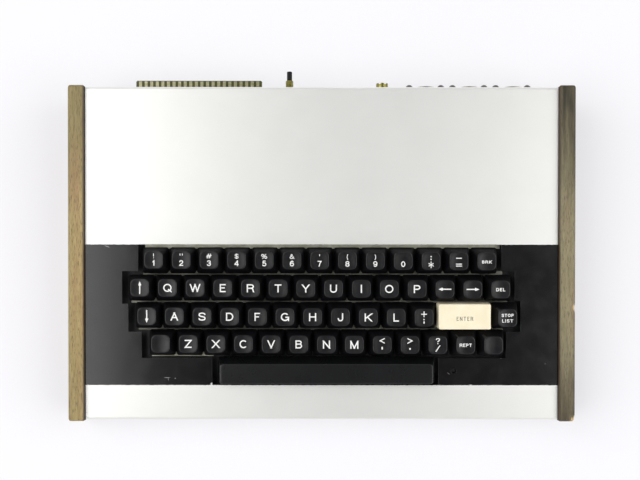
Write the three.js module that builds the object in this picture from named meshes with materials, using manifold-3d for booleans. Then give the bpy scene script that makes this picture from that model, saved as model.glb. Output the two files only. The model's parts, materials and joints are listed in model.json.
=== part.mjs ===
import * as THREE from 'three';
import { mergeVertices } from 'three/addons/utils/BufferGeometryUtils.js';
import Module from 'manifold-3d';

const wasm = await Module();
wasm.setup();

// A low wedge-shaped home computer: a folded metal cover between two wooden cheeks, with a keyboard
// let into its slope and its sockets along the back. Millimetres, +X right, +Y back, +Z up.

// Clearances
const partGap = 0.3;
const cutOverrun = 5;

// Key field, with every key on one pitch
const keyPitch = 19.05;
const keyGap = 0.85;
const keyTravel = 3.8;

// Each row lists its keys from left to right. The shares are of the key pitch: where the row starts from
// the top row's first key, how far the cut-out stands off its end, back and front keys, and how far the
// key tops lie towards the back.
const keyRows = [
  {
    keys: ['key_1', 'key_2', 'key_3', 'key_4', 'key_5', 'key_6', 'key_7', 'key_8', 'key_9', 'key_0',
      'key_colon', 'key_minus', 'key_break'],
    startShare: 0,
    leftShare: 0.152,
    rightShare: 0.176,
    backShare: 0.105,
    frontShare: 0.1,
    topShiftShare: 0.008,
  },
  {
    keys: ['key_up', 'key_q', 'key_w', 'key_e', 'key_r', 'key_t', 'key_y', 'key_u', 'key_i', 'key_o',
      'key_p', 'key_left', 'key_right', 'key_delete'],
    startShare: -0.5,
    leftShare: 0.242,
    rightShare: 0.163,
    backShare: 0.123,
    frontShare: 0.108,
    topShiftShare: -0.005,
  },
  {
    keys: ['key_down', 'key_a', 'key_s', 'key_d', 'key_f', 'key_g', 'key_h', 'key_j', 'key_k', 'key_l',
      'key_plus', 'enter_key', 'key_stop_list'],
    startShare: -0.25,
    leftShare: 0.264,
    rightShare: 0.125,
    backShare: 0.052,
    frontShare: 0.131,
    topShiftShare: -0.039,
  },
  {
    keys: ['key_blank_left', 'key_z', 'key_x', 'key_c', 'key_v', 'key_b', 'key_n', 'key_m', 'key_comma',
      'key_period', 'key_slash', 'key_repeat', 'key_blank_right'],
    startShare: 0.25,
    leftShare: 0.277,
    rightShare: 0.09,
    backShare: 0.1,
    frontShare: 0.092,
    topShiftShare: -0.029,
  },
  {
    keys: ['space_bar'],
    startShare: 2.75,
    leftShare: 0.2,
    rightShare: 0.12,
    backShare: 0.1,
    frontShare: 0.09,
    topShiftShare: 0,
  },
];
const wideKeyUnits = { enter_key: 2, space_bar: 8 };

// Keycaps: hollow, with a dished top and a square stem that slides in the switch
const capHeight = 9;
const capSkirtDrop = 1;
const capTopWidth = 12.6;
const capTopDepth = 12;
const capBaseCorner = 1.6;
const capTopCorner = 3.7;
const capDish = 0.7;
const capWall = 1.3;
const capRoof = 2;
const capInnerCorner = 0.8;
const capCornerSteps = 2;
const stemSize = 4.4;
const stemReach = 3.5;

// The two wide keycaps have tops that stand over their front edge, and ENTER's nearly covers its base
const spaceTopDepth = 13.5;
const enterTopDepth = 17.3;
const wideTopCorner = 1;
const wideFrontInset = 0.4;
const enterEndInset = 0.6;
const enterScoop = 0.8;
const enterScoopSteps = 6;
const enterExtraHeight = 0.8;
const spaceEndInset = 2.3;
const spaceGuideShare = 0.36;

// Cover: one sheet, bent down at the front and the back
const sheetThickness = 1.5;
const bendRadius = 2;
const frontHeight = 32;
const backHeight = 50;
const rearDeckLength = 109.9;
const frontStripLength = 24.3;
const leftDeckWidth = 25.736;
const rightDeckWidth = 26.124;
const bendSteps = 4;

// Cheeks
const cheekThickness = 11;
const cheekRise = 3;
const cheekOverhang = 0.8;
const cheekGroundGap = 2;
const cheekCornerRadius = 2.5;
const cheekEdgeRound = 1.2;
const cheekEdgeSteps = 2;

// Bottom tray and feet
const trayThickness = 1.5;
const trayWallHeight = 12;
const footHeight = 4;
const footRadius = 6;
const footInset = 24;
const footSides = 20;
const standoffRadius = 3;
const standoffSides = 10;

// Circuit board, carried on the standoffs in parallel with the cover's slope
const boardThickness = 1.6;
const boardDepth = 13.5;
const boardSideInset = 14;
const boardFrontInset = 14;
const boardBackInset = 6;
const boardRecessInset = 18;
const standoffXShare = 0.42;
const standoffYShares = [0.13, 0.5, 0.93];

// Edge connector: the board's own tongue with plated contacts
const contactCount = 22;
const contactPitch = 3.96;
const tongueSideMargin = 1;
const tongueReach = 6;
const tongueInset = 33.2;
const tongueSlotGap = 0.8;

// Switch plate and switches
const plateThickness = 1.2;
const plateDepth = 7;
const plateMargin = 4.5;
const switchBase = 14.5;
const switchTop = 10.8;
const switchRise = 5.5;
const pocketSpare = 1;

// Power lamp
const lampRadius = 1.4;
const lampFromSpaceBar = 13;
const lampFrontShift = 0.8;
const lampRecess = 0.4;
const lampSides = 12;

// Chips, in rows behind the keyboard
const chipHeight = 4.5;
const smallChipLength = 20;
const smallChipWidth = 7.5;
const smallChipCount = 9;
const smallChipRowShares = [0.3, 0.5];
const largeChipLength = 42;
const largeChipWidth = 14;
const largeChipCount = 4;
const largeChipRowShare = 0.78;

// Sockets along the back: three chassis sockets and the television socket on one pitch
const socketPitch = 30.53;
const socketEdgeDistance = 30.75;
const dinDepth = 10.5;
const dinBarrelRadius = 7.5;
const dinFaceRadius = 6.6;
const dinFaceRecess = 1;
const dinBarrelRise = 0.8;
const dinBodyDepth = 9;
const dinSides = 24;
const dinScrewSpacing = 22.3;
const dinFlangeThickness = 1.2;
const dinEarRadius = 3.6;
const dinFlangeRadius = 8;
const dinFlangeSteps = 5;
const screwHeadRadius = 2.7;
const screwHeadHeight = 2.8;
const screwHeadSteps = 3;
const screwSides = 12;

// Television socket on its screened box
const tvBoxWidth = 30;
const tvBoxLength = 22;
const tvBoxHeight = 10;
const tvBarrelRadius = 4.15;
const tvReach = 4;
const tvBoreRadius = 1.6;
const tvBoreDepth = 6;
const tvSides = 20;

// Reset switch: a box on the board, a threaded bushing through the wall and a plunger
const resetSpacing = 19.7;
const resetBoxWidth = 12;
const resetBoxLength = 13;
const resetBoxHeight = 9;
const bushingRadius = 2.7;
const bushingReach = 5.1;
const plungerRadius = 1.8;
const plungerReach = 11.6;
const plungerTipRound = 0.6;
const collarRadius = 2.6;
const collarLength = 1.5;
const resetTravel = 2.5;
const resetSides = 16;

// Sizes that follow from the ones above
const capBase = keyPitch - keyGap;
const keyboardLength = keyPitch * (keyRows.length - 1) + capBase
  + keyPitch * (keyRows[0].backShare + keyRows[keyRows.length - 1].frontShare);
const sheetLength = rearDeckLength + keyboardLength + frontStripLength;
const slope = Math.asin((backHeight - frontHeight) / sheetLength);
const caseDepth = sheetLength * Math.cos(slope);
const firstRowY = -(rearDeckLength + keyPitch * keyRows[0].backShare + capBase / 2);

// The number of key pitches that a row takes up
function rowUnits(row) {
  return row.keys.reduce((sum, name) => sum + (wideKeyUnits[name] ?? 1), 0);
}

// How far a row's opening reaches to each side of the top row's first key
const leftReach = Math.max(...keyRows.map(
  (row) => keyPitch * (row.leftShare - row.startShare) + capBase / 2,
));
const rightReach = Math.max(...keyRows.map(
  (row) => keyPitch * (row.startShare + rowUnits(row) - 1 + row.rightShare) + capBase / 2,
));
const sheetWidth = leftDeckWidth + leftReach + rightReach + rightDeckWidth;
const firstKeyX = leftDeckWidth + leftReach - sheetWidth / 2;

// The sloped deck's own frame: its origin is at the cover's back top edge, -Y runs down the slope
const deck = new THREE.Group();
deck.position.set(0, caseDepth / 2, backHeight);
deck.rotation.x = slope;
deck.updateMatrix();

// A closed geometry as a solid, ready for cutting and joining
function solidOf(geometry) {
  const bare = geometry.clone();
  bare.deleteAttribute('normal');
  bare.deleteAttribute('uv');
  const merged = mergeVertices(bare);
  return new wasm.Manifold(new wasm.Mesh({
    numProp: 3,
    vertProperties: new Float32Array(merged.attributes.position.array),
    triVerts: new Uint32Array(merged.index.array),
  }));
}

function geometryOf(solid) {
  const mesh = solid.getMesh();
  const geometry = new THREE.BufferGeometry();
  geometry.setAttribute('position', new THREE.BufferAttribute(new Float32Array(mesh.vertProperties), 3));
  geometry.setIndex(new THREE.BufferAttribute(new Uint32Array(mesh.triVerts), 1));
  geometry.computeVertexNormals();
  return geometry;
}

// A box between two corners
function blockBetween(low, high) {
  const size = high.map((value, axis) => value - low[axis]);
  const geometry = new THREE.BoxGeometry(...size);
  return geometry.translate(...low.map((value, axis) => value + size[axis] / 2));
}

// A rod along Y from one place to another
function rodAlongY(radius, x, fromY, toY, z, sides) {
  const geometry = new THREE.CylinderGeometry(radius, radius, toY - fromY, sides);
  return geometry.translate(x, (fromY + toY) / 2, z);
}

// A rod along Z from one height to another
function rodAlongZ(radius, x, y, fromZ, toZ, sides) {
  const geometry = new THREE.CylinderGeometry(radius, radius, toZ - fromZ, sides);
  return geometry.rotateX(Math.PI / 2).translate(x, y, (fromZ + toZ) / 2);
}

// An outline drawn in Y and Z, extruded along X from the middle
function extrudeAlongX(shape, width, options) {
  const geometry = new THREE.ExtrudeGeometry(shape, { depth: width, bevelEnabled: false, ...options });
  const turn = new THREE.Matrix4().makeBasis(
    new THREE.Vector3(0, 1, 0),
    new THREE.Vector3(0, 0, 1),
    new THREE.Vector3(1, 0, 0),
  );
  return geometry.translate(0, 0, -width / 2).applyMatrix4(turn);
}

// A ring of points round a rectangle with round corners, at one height
function roundedRing(width, depth, corner, steps, height, shiftY) {
  const ring = [];
  for (let quarter = 0; quarter < 4; quarter += 1) {
    const sideX = quarter === 0 || quarter === 3 ? 1 : -1;
    const sideY = quarter < 2 ? 1 : -1;
    for (let step = 0; step <= steps; step += 1) {
      const angle = (quarter + step / steps) * Math.PI / 2;
      ring.push(new THREE.Vector3(
        sideX * (width / 2 - corner) + corner * Math.cos(angle),
        sideY * (depth / 2 - corner) + corner * Math.sin(angle) + shiftY,
        height,
      ));
    }
  }
  return ring;
}

// A closed solid skinned over rings of equally many points, each end closed by a fan to its centre point
function skinRings(rings, bottomCentre, topCentre) {
  const count = rings[0].length;
  const points = [...rings.flat(), bottomCentre, topCentre];
  const bottomIndex = points.length - 2;
  const topIndex = points.length - 1;
  const index = [];
  for (let i = 0; i < count; i += 1) {
    const next = (i + 1) % count;
    index.push(bottomIndex, next, i);
    for (let level = 0; level < rings.length - 1; level += 1) {
      const low = level * count;
      const high = low + count;
      index.push(low + i, low + next, high + next);
      index.push(low + i, high + next, high + i);
    }
    const last = (rings.length - 1) * count;
    index.push(topIndex, last + i, last + next);
  }
  const geometry = new THREE.BufferGeometry().setFromPoints(points);
  geometry.setIndex(index);
  return geometry;
}

// A square block that narrows towards its top
function taperedBlock(x, y, baseSize, topSize, fromZ, toZ) {
  const geometry = new THREE.CylinderGeometry(topSize / Math.SQRT2, baseSize / Math.SQRT2, toZ - fromZ, 4);
  return geometry.rotateY(Math.PI / 4).rotateX(Math.PI / 2).translate(x, y, (fromZ + toZ) / 2);
}

// Every key's name, size and place on the deck
function layOutKeys() {
  const places = [];
  keyRows.forEach((row, rowNumber) => {
    let start = row.startShare;
    for (const name of row.keys) {
      const units = wideKeyUnits[name] ?? 1;
      places.push({
        name,
        width: units * keyPitch - keyGap,
        x: firstKeyX + (start + (units - 1) / 2) * keyPitch,
        y: firstRowY - rowNumber * keyPitch,
        topShift: row.topShiftShare * keyPitch,
      });
      start += units;
    }
  });
  return places;
}
const keyPlaces = layOutKeys();

// The places of a key's stems from its middle: the space bar has a guide at each end as well
function stemOffsets(place) {
  if (place.name !== 'space_bar') {
    return [0];
  }
  return [-spaceGuideShare * place.width, 0, spaceGuideShare * place.width];
}

// A keycap's outer form, and how its top lies over its base
function capForm(place) {
  const form = {
    height: capHeight,
    topWidth: capTopWidth,
    topDepth: capTopDepth,
    topCorner: capTopCorner,
    topShift: place.topShift,
    dish: capDish,
  };
  if (place.name in wideKeyUnits) {
    form.topDepth = place.name === 'enter_key' ? enterTopDepth : spaceTopDepth;
    form.topCorner = wideTopCorner;
    form.topShift = wideFrontInset + form.topDepth / 2 - capBase / 2;
    form.dish = 0;
  }
  if (place.name === 'enter_key') {
    form.height = capHeight + enterExtraHeight;
    form.topWidth = place.width - 2 * enterEndInset;
  }
  if (place.name === 'space_bar') {
    form.topWidth = place.width - 2 * spaceEndInset;
  }
  return form;
}

// One keycap, standing on the height zero of its own frame
function makeCap(place) {
  const form = capForm(place);
  const dishRimShare = 0.62;
  const dishRimDepthShare = 0.7;
  const outer = [
    roundedRing(place.width, capBase, capBaseCorner, capCornerSteps, 0, 0),
    roundedRing(form.topWidth, form.topDepth, form.topCorner, capCornerSteps, form.height, form.topShift),
  ];
  if (form.dish > 0) {
    outer.push(roundedRing(
      form.topWidth * dishRimShare,
      form.topDepth * dishRimShare,
      form.topCorner * dishRimShare,
      capCornerSteps,
      form.height - form.dish * dishRimDepthShare,
      form.topShift,
    ));
  }
  const base = new THREE.Vector3(0, 0, 0);
  const top = new THREE.Vector3(0, form.topShift, form.height - form.dish);
  let cap = solidOf(skinRings(outer, base, top));

  const ceiling = form.height - capRoof;
  const innerWidth = place.width - 2 * capWall;
  const innerDepth = capBase - 2 * capWall;
  const cavity = [
    roundedRing(innerWidth, innerDepth, capInnerCorner, 1, -cutOverrun, 0),
    roundedRing(innerWidth, innerDepth, capInnerCorner, 1, 0, 0),
    roundedRing(form.topWidth - 2 * capWall, form.topDepth - 2 * capWall, capInnerCorner, 1, ceiling,
      form.topShift),
  ];
  const cavityBase = new THREE.Vector3(0, 0, -cutOverrun);
  const cavityTop = new THREE.Vector3(0, form.topShift, ceiling);
  cap = cap.subtract(solidOf(skinRings(cavity, cavityBase, cavityTop)));

  if (place.name === 'enter_key') {
    cap = cap.subtract(solidOf(makeScoop(place.width, form)));
  }
  const stemTop = ceiling + (capRoof - capDish) / 2;
  for (const offset of stemOffsets(place)) {
    const stem = blockBetween(
      [offset - stemSize / 2, -stemSize / 2, -stemReach],
      [offset + stemSize / 2, stemSize / 2, stemTop],
    );
    cap = cap.add(solidOf(stem));
  }
  return geometryOf(cap);
}

// The round hollow along a wide keycap's top, as the segment of a circle that is cut away
function makeScoop(width, form) {
  const half = form.topDepth / 2;
  const radius = (half * half + enterScoop * enterScoop) / (2 * enterScoop);
  const halfAngle = Math.asin(half / radius);
  const centreY = form.topShift;
  const centreZ = form.height - enterScoop + radius;
  const scoop = new THREE.Shape();
  scoop.absarc(centreY, centreZ, radius, -Math.PI / 2 - halfAngle, -Math.PI / 2 + halfAngle, false);
  scoop.lineTo(centreY + half, form.height + cutOverrun);
  scoop.lineTo(centreY - half, form.height + cutOverrun);
  return extrudeAlongX(scoop, width + 2 * cutOverrun, { curveSegments: enterScoopSteps });
}

// A closed outline with round corners, from its corner points in order
function roundedOutline(corners, radii) {
  const shape = new THREE.Shape();
  corners.forEach((corner, i) => {
    const before = corners[(i + corners.length - 1) % corners.length];
    const after = corners[(i + 1) % corners.length];
    const back = before.clone().sub(corner).normalize();
    const ahead = after.clone().sub(corner).normalize();
    const halfAngle = Math.acos(back.dot(ahead)) / 2;
    const run = radii[i] / Math.tan(halfAngle);
    const entry = corner.clone().addScaledVector(back, run);
    const exit = corner.clone().addScaledVector(ahead, run);
    if (i === 0) {
      shape.moveTo(entry.x, entry.y);
    } else {
      shape.lineTo(entry.x, entry.y);
    }
    const middle = back.clone().add(ahead).normalize();
    const centre = corner.clone().addScaledVector(middle, radii[i] / Math.sin(halfAngle));
    const startAngle = Math.atan2(entry.y - centre.y, entry.x - centre.x);
    const endAngle = Math.atan2(exit.y - centre.y, exit.x - centre.x);
    if (radii[i] > 0) {
      shape.absarc(centre.x, centre.y, radii[i], startAngle, endAngle, false);
    }
  });
  return shape;
}

// The case's side outline in Y and Z: flat below, sloped above, moved outwards and upwards as asked
function wedgeOutline(outwards, upwards, bottom, topRadius, bottomRadius) {
  const reach = caseDepth / 2 + outwards;
  const lift = upwards / Math.cos(slope);
  const rise = Math.tan(slope);
  const corners = [
    new THREE.Vector2(-reach, bottom),
    new THREE.Vector2(reach, bottom),
    new THREE.Vector2(reach, backHeight + lift + outwards * rise),
    new THREE.Vector2(-reach, frontHeight + lift - outwards * rise),
  ];
  return roundedOutline(corners, [bottomRadius, bottomRadius, topRadius, topRadius]);
}

// Where the back wall's faces lie on the deck at a depth below the cover's top
function wallFaceY(depth, inside) {
  return -depth * Math.tan(slope) - (inside ? sheetThickness / Math.cos(slope) : 0);
}

// Things on the deck that more than one piece reads
const boardTop = -boardDepth + boardThickness / 2;
const boardBottom = boardTop - boardThickness;
const tongueWidth = contactCount * contactPitch + 2 * tongueSideMargin;
const tongueLeft = tongueInset - sheetWidth / 2;
const resetX = tongueLeft + tongueWidth + resetSpacing;
const resetZ = boardTop + resetBoxHeight / 2;
const dinPlaces = [0, 1, 2].map((i) => sheetWidth / 2 - socketEdgeDistance - i * socketPitch);
const tvX = sheetWidth / 2 - socketEdgeDistance - dinPlaces.length * socketPitch;
const tvZ = boardTop + tvBoxHeight / 2;
const boxFaceY = wallFaceY(boardDepth, true) - partGap;
const spaceBarPlace = keyPlaces.find((place) => place.name === 'space_bar');
const lampX = spaceBarPlace.x + spaceBarPlace.width / 2 + lampFromSpaceBar;
const lampY = spaceBarPlace.y - lampFrontShift;

// The opening that the keys stand in: one step for each row
function keyOpening() {
  const steps = keyRows.map((row, rowNumber) => {
    const left = firstKeyX + (row.startShare - row.leftShare) * keyPitch - capBase / 2;
    const right = firstKeyX + (row.startShare + rowUnits(row) - 1 + row.rightShare) * keyPitch + capBase / 2;
    const y = firstRowY - rowNumber * keyPitch;
    const back = y + capBase / 2 + row.backShare * keyPitch;
    const front = y - capBase / 2 - row.frontShare * keyPitch;
    return solidOf(blockBetween([left, front, -cutOverrun], [right, back, cutOverrun]));
  });
  return steps.reduce((sum, step) => sum.add(step));
}

// Flange outline of a chassis socket: a round middle with an ear for a screw at each end
function flangeOutline() {
  const reach = dinScrewSpacing / 2;
  const tangent = Math.acos((dinFlangeRadius - dinEarRadius) / reach);
  const shape = new THREE.Shape();
  shape.absarc(0, 0, dinFlangeRadius, tangent, Math.PI - tangent, false);
  shape.absarc(-reach, 0, dinEarRadius, Math.PI - tangent, Math.PI + tangent, false);
  shape.absarc(0, 0, dinFlangeRadius, Math.PI + tangent, 2 * Math.PI - tangent, false);
  shape.absarc(reach, 0, dinEarRadius, -tangent, tangent, false);
  return shape;
}

// A low round screw head on the back wall, its axis along Y
function screwHead() {
  const profile = [new THREE.Vector2(0, 0), new THREE.Vector2(screwHeadRadius, 0)];
  for (let step = 0; step < screwHeadSteps; step += 1) {
    const angle = (step / screwHeadSteps) * Math.PI / 2;
    const half = screwHeadHeight / 2;
    profile.push(new THREE.Vector2(
      screwHeadRadius - half + half * Math.cos(angle),
      half + half * Math.sin(angle),
    ));
  }
  profile.push(new THREE.Vector2(0, screwHeadHeight));
  return new THREE.LatheGeometry(profile, screwSides);
}

// One chassis socket with its flange, barrel and screws, its axis along Y from the wall's outer face
function makeDinSocket(x) {
  const z = backHeight - dinDepth;
  const wallY = caseDepth / 2;
  const flangeY = wallY + dinFlangeThickness;
  const barrelY = flangeY + dinBarrelRise;
  const flange = new THREE.ExtrudeGeometry(flangeOutline(), {
    depth: dinFlangeThickness + sheetThickness / 2,
    bevelEnabled: false,
    curveSegments: dinFlangeSteps,
  });
  flange.rotateX(Math.PI / 2).translate(x, flangeY, z);
  let socket = solidOf(flange);
  const barrel = rodAlongY(dinBarrelRadius, x, wallY - sheetThickness - dinBodyDepth, barrelY, z, dinSides);
  socket = socket.add(solidOf(barrel));
  const face = rodAlongY(dinFaceRadius, x, barrelY - dinFaceRecess, barrelY + cutOverrun, z, dinSides);
  socket = socket.subtract(solidOf(face));
  for (const side of [-1, 1]) {
    const head = screwHead().translate(x + side * dinScrewSpacing / 2, flangeY - dinFlangeThickness / 2, z);
    socket = socket.add(solidOf(head));
  }
  return socket;
}

// Cover: the folded sheet with the keyboard opening, the holes in its back wall and the chassis sockets
function makeTopCover() {
  const floor = footHeight;
  const outside = extrudeAlongX(wedgeOutline(0, 0, floor, bendRadius, 0), sheetWidth,
    { curveSegments: bendSteps });
  const inside = extrudeAlongX(
    wedgeOutline(-sheetThickness, -sheetThickness, floor - cutOverrun, bendRadius - sheetThickness, 0),
    sheetWidth + 2 * cutOverrun,
    { curveSegments: bendSteps },
  );
  let cover = solidOf(outside).subtract(solidOf(inside));

  const deckTools = [
    blockBetween(
      [tongueLeft - tongueSlotGap, -cutOverrun, boardBottom - tongueSlotGap],
      [tongueLeft + tongueWidth + tongueSlotGap, cutOverrun, boardTop + tongueSlotGap],
    ),
    rodAlongY(bushingRadius + partGap, resetX, -cutOverrun, cutOverrun, resetZ, resetSides),
    rodAlongY(tvBarrelRadius + partGap, tvX, -cutOverrun, cutOverrun, tvZ, tvSides),
    rodAlongZ(lampRadius + partGap, lampX, lampY, -cutOverrun, cutOverrun, lampSides),
    geometryOf(keyOpening()),
  ];
  for (const tool of deckTools) {
    cover = cover.subtract(solidOf(tool.applyMatrix4(deck.matrix)));
  }
  for (const x of dinPlaces) {
    cover = cover.add(makeDinSocket(x));
  }
  return geometryOf(cover);
}

// Cheek: a solid board that stands a little proud of the cover all round
function makeCheek() {
  const shape = wedgeOutline(cheekOverhang, cheekRise, cheekGroundGap, cheekCornerRadius, cheekCornerRadius);
  return extrudeAlongX(shape, cheekThickness, {
    depth: cheekThickness - 2 * cheekEdgeRound,
    bevelEnabled: true,
    bevelSize: cheekEdgeRound,
    bevelThickness: cheekEdgeRound,
    bevelOffset: -cheekEdgeRound,
    bevelSegments: cheekEdgeSteps,
    curveSegments: bendSteps,
  }).translate(cheekEdgeRound, 0, 0);
}

// The height of the board's underside above the desk, at a distance in front of the case's back
function boardUndersideHeight(y) {
  const drop = (caseDepth / 2 - y) * Math.tan(slope);
  return backHeight - drop + boardBottom / Math.cos(slope);
}

// Bottom tray: a shallow pan inside the cover's walls, with the board's standoffs and four feet
function makeBottomCover() {
  const halfWidth = sheetWidth / 2 - partGap;
  const halfDepth = caseDepth / 2 - sheetThickness - partGap;
  const floorTop = footHeight + trayThickness;
  const rim = footHeight + trayWallHeight;
  const outside = blockBetween([-halfWidth, -halfDepth, footHeight], [halfWidth, halfDepth, rim]);
  const inside = blockBetween(
    [trayThickness - halfWidth, trayThickness - halfDepth, floorTop],
    [halfWidth - trayThickness, halfDepth - trayThickness, rim + cutOverrun],
  );
  let tray = solidOf(outside).subtract(solidOf(inside));

  for (const sideX of [-1, 1]) {
    for (const sideY of [-1, 1]) {
      const x = sideX * (halfWidth - footInset);
      const y = sideY * (halfDepth - footInset);
      const foot = rodAlongZ(footRadius, x, y, 0, footHeight + trayThickness / 2, footSides);
      tray = tray.add(solidOf(foot));
    }
    for (const share of standoffYShares) {
      const x = sideX * standoffXShare * sheetWidth;
      const y = halfDepth - share * 2 * halfDepth;
      const top = boardUndersideHeight(y - standoffRadius) - partGap;
      const standoff = rodAlongZ(standoffRadius, x, y, footHeight + trayThickness / 2, top, standoffSides);
      tray = tray.add(solidOf(standoff));
    }
  }
  return geometryOf(tray);
}

// Board outline with the edge connector's tongue, cut back behind the chassis sockets
function boardOutline() {
  const side = sheetWidth / 2 - boardSideInset;
  const front = boardFrontInset - sheetLength;
  const recessX = dinPlaces[dinPlaces.length - 1] - dinBarrelRadius - boardThickness;
  const shape = new THREE.Shape();
  shape.moveTo(-side, front);
  shape.lineTo(side, front);
  shape.lineTo(side, -boardRecessInset);
  shape.lineTo(recessX, -boardRecessInset);
  shape.lineTo(recessX, -boardBackInset);
  shape.lineTo(tongueLeft + tongueWidth, -boardBackInset);
  shape.lineTo(tongueLeft + tongueWidth, tongueReach);
  shape.lineTo(tongueLeft, tongueReach);
  shape.lineTo(tongueLeft, -boardBackInset);
  shape.lineTo(-side, -boardBackInset);
  return shape;
}

// Chips in rows between the keyboard and the sockets
function makeChips() {
  const side = sheetWidth / 2 - boardSideInset;
  const chips = [];
  const addRow = (count, length, width, rowShare) => {
    const y = -boardRecessInset - rowShare * (rearDeckLength - boardRecessInset);
    for (let i = 0; i < count; i += 1) {
      const x = side * (2 * (i + 1 / 2) / count - 1);
      chips.push(blockBetween(
        [x - length / 2, y - width / 2, boardTop - boardThickness / 2],
        [x + length / 2, y + width / 2, boardTop + chipHeight],
      ));
    }
  };
  for (const share of smallChipRowShares) {
    addRow(smallChipCount, smallChipLength, smallChipWidth, share);
  }
  addRow(largeChipCount, largeChipLength, largeChipWidth, largeChipRowShare);
  return chips;
}

// The plate that the key switches are set in, a little larger than the keyboard opening
function makeSwitchPlate() {
  const left = firstKeyX - leftReach - plateMargin;
  const right = firstKeyX + rightReach + plateMargin;
  const back = plateMargin - rearDeckLength;
  const front = -rearDeckLength - keyboardLength - plateMargin;
  return blockBetween([left, front, -plateDepth - plateThickness], [right, back, -plateDepth]);
}

// Circuit board assembly: board, switch plate, switches, lamp, chips, reset switch and television box
function makeCircuitBoard() {
  const board = new THREE.ExtrudeGeometry(boardOutline(), { depth: boardThickness, bevelEnabled: false });
  const embed = boardThickness / 2;
  const additions = [
    makeSwitchPlate(),
    ...makeChips(),
    rodAlongZ(lampRadius, lampX, lampY, -plateDepth - plateThickness / 2, -lampRecess, lampSides),
    blockBetween(
      [resetX - resetBoxWidth / 2, boxFaceY - resetBoxLength, boardTop - embed],
      [resetX + resetBoxWidth / 2, boxFaceY, boardTop + resetBoxHeight],
    ),
    rodAlongY(bushingRadius, resetX, boxFaceY - embed, bushingReach, resetZ, resetSides),
    blockBetween(
      [tvX - tvBoxWidth / 2, boxFaceY - tvBoxLength, boardTop - embed],
      [tvX + tvBoxWidth / 2, boxFaceY, boardTop + tvBoxHeight],
    ),
    rodAlongY(tvBarrelRadius, tvX, boxFaceY - embed, tvReach, tvZ, tvSides),
  ];
  const collarBackY = boxFaceY - embed - resetTravel - collarLength - pocketSpare;
  const cuts = [
    rodAlongY(tvBoreRadius, tvX, tvReach - tvBoreDepth, tvReach + cutOverrun, tvZ, tvSides / 2),
    rodAlongY(plungerRadius + partGap, resetX, collarBackY, bushingReach + cutOverrun, resetZ, resetSides),
    rodAlongY(collarRadius + partGap, resetX, collarBackY, boxFaceY - embed, resetZ, resetSides),
  ];
  const pocketSize = stemSize + 2 * partGap;
  const pocketFloor = -capSkirtDrop - stemReach - keyTravel - pocketSpare;
  for (const place of keyPlaces) {
    for (const offset of stemOffsets(place)) {
      const x = place.x + offset;
      const top = switchRise - plateDepth;
      additions.push(taperedBlock(x, place.y, switchBase, switchTop, boardTop - embed, top));
      cuts.push(blockBetween(
        [x - pocketSize / 2, place.y - pocketSize / 2, pocketFloor],
        [x + pocketSize / 2, place.y + pocketSize / 2, top + cutOverrun],
      ));
    }
  }
  let assembly = solidOf(board.translate(0, 0, boardBottom));
  for (const addition of additions) {
    assembly = assembly.add(solidOf(addition));
  }
  for (const cut of cuts) {
    assembly = assembly.subtract(solidOf(cut));
  }
  return geometryOf(assembly);
}

// Reset plunger, turned from its collar inside the box to its round tip
function makeResetButton() {
  const collarY = boxFaceY - boardThickness / 2 - partGap - collarLength;
  const profile = [
    new THREE.Vector2(0, collarY),
    new THREE.Vector2(collarRadius, collarY),
    new THREE.Vector2(collarRadius, collarY + collarLength),
    new THREE.Vector2(plungerRadius, collarY + collarLength),
    new THREE.Vector2(plungerRadius, plungerReach - plungerTipRound),
    new THREE.Vector2(plungerRadius - plungerTipRound, plungerReach),
    new THREE.Vector2(0, plungerReach),
  ];
  return new THREE.LatheGeometry(profile, resetSides);
}

// Finishes
const blackPlastic = { color: 0x1e1e1f, roughness: 0.5, metalness: 0 };
const creamPlastic = { color: 0xf0e8cc, roughness: 0.45, metalness: 0 };
const aluminium = { color: 0xdfdfdb, roughness: 0.35, metalness: 0.9 };
const oiledWood = { color: 0x8b7650, roughness: 0.7, metalness: 0 };
const boardResin = { color: 0x6d6a35, roughness: 0.55, metalness: 0 };
const paintedSteel = { color: 0x2a2a2a, roughness: 0.6, metalness: 0.2 };

function addPiece(parent, name, geometry, finish, place = [0, 0, 0]) {
  const mesh = new THREE.Mesh(geometry, new THREE.MeshStandardMaterial(finish));
  mesh.name = name;
  mesh.position.set(...place);
  parent.add(mesh);
}

// Put the computer together
const computer = new THREE.Group();
computer.add(deck);
addPiece(computer, 'top_cover', makeTopCover(), aluminium);
addPiece(computer, 'bottom_cover', makeBottomCover(), paintedSteel);
const cheekX = sheetWidth / 2 + partGap + cheekThickness / 2;
addPiece(computer, 'left_cheek', makeCheek(), oiledWood, [-cheekX, 0, 0]);
addPiece(computer, 'right_cheek', makeCheek(), oiledWood, [cheekX, 0, 0]);
addPiece(deck, 'circuit_board', makeCircuitBoard(), boardResin);
addPiece(deck, 'reset_button', makeResetButton(), blackPlastic, [resetX, 0, resetZ]);
for (const place of keyPlaces) {
  const finish = place.name === 'enter_key' ? creamPlastic : blackPlastic;
  addPiece(deck, place.name, makeCap(place), finish, [place.x, place.y, -capSkirtDrop]);
}

// The part's origin is the middle of its footprint, at the height of the desk
computer.updateMatrixWorld(true);
const extent = new THREE.Box3().setFromObject(computer, true);
computer.position.y = -(extent.min.y + extent.max.y) / 2;

export default computer;
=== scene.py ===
import json
import math
import bmesh
import bpy
from mathutils import Matrix, Vector
from mathutils.geometry import delaunay_2d_cdt


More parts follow.
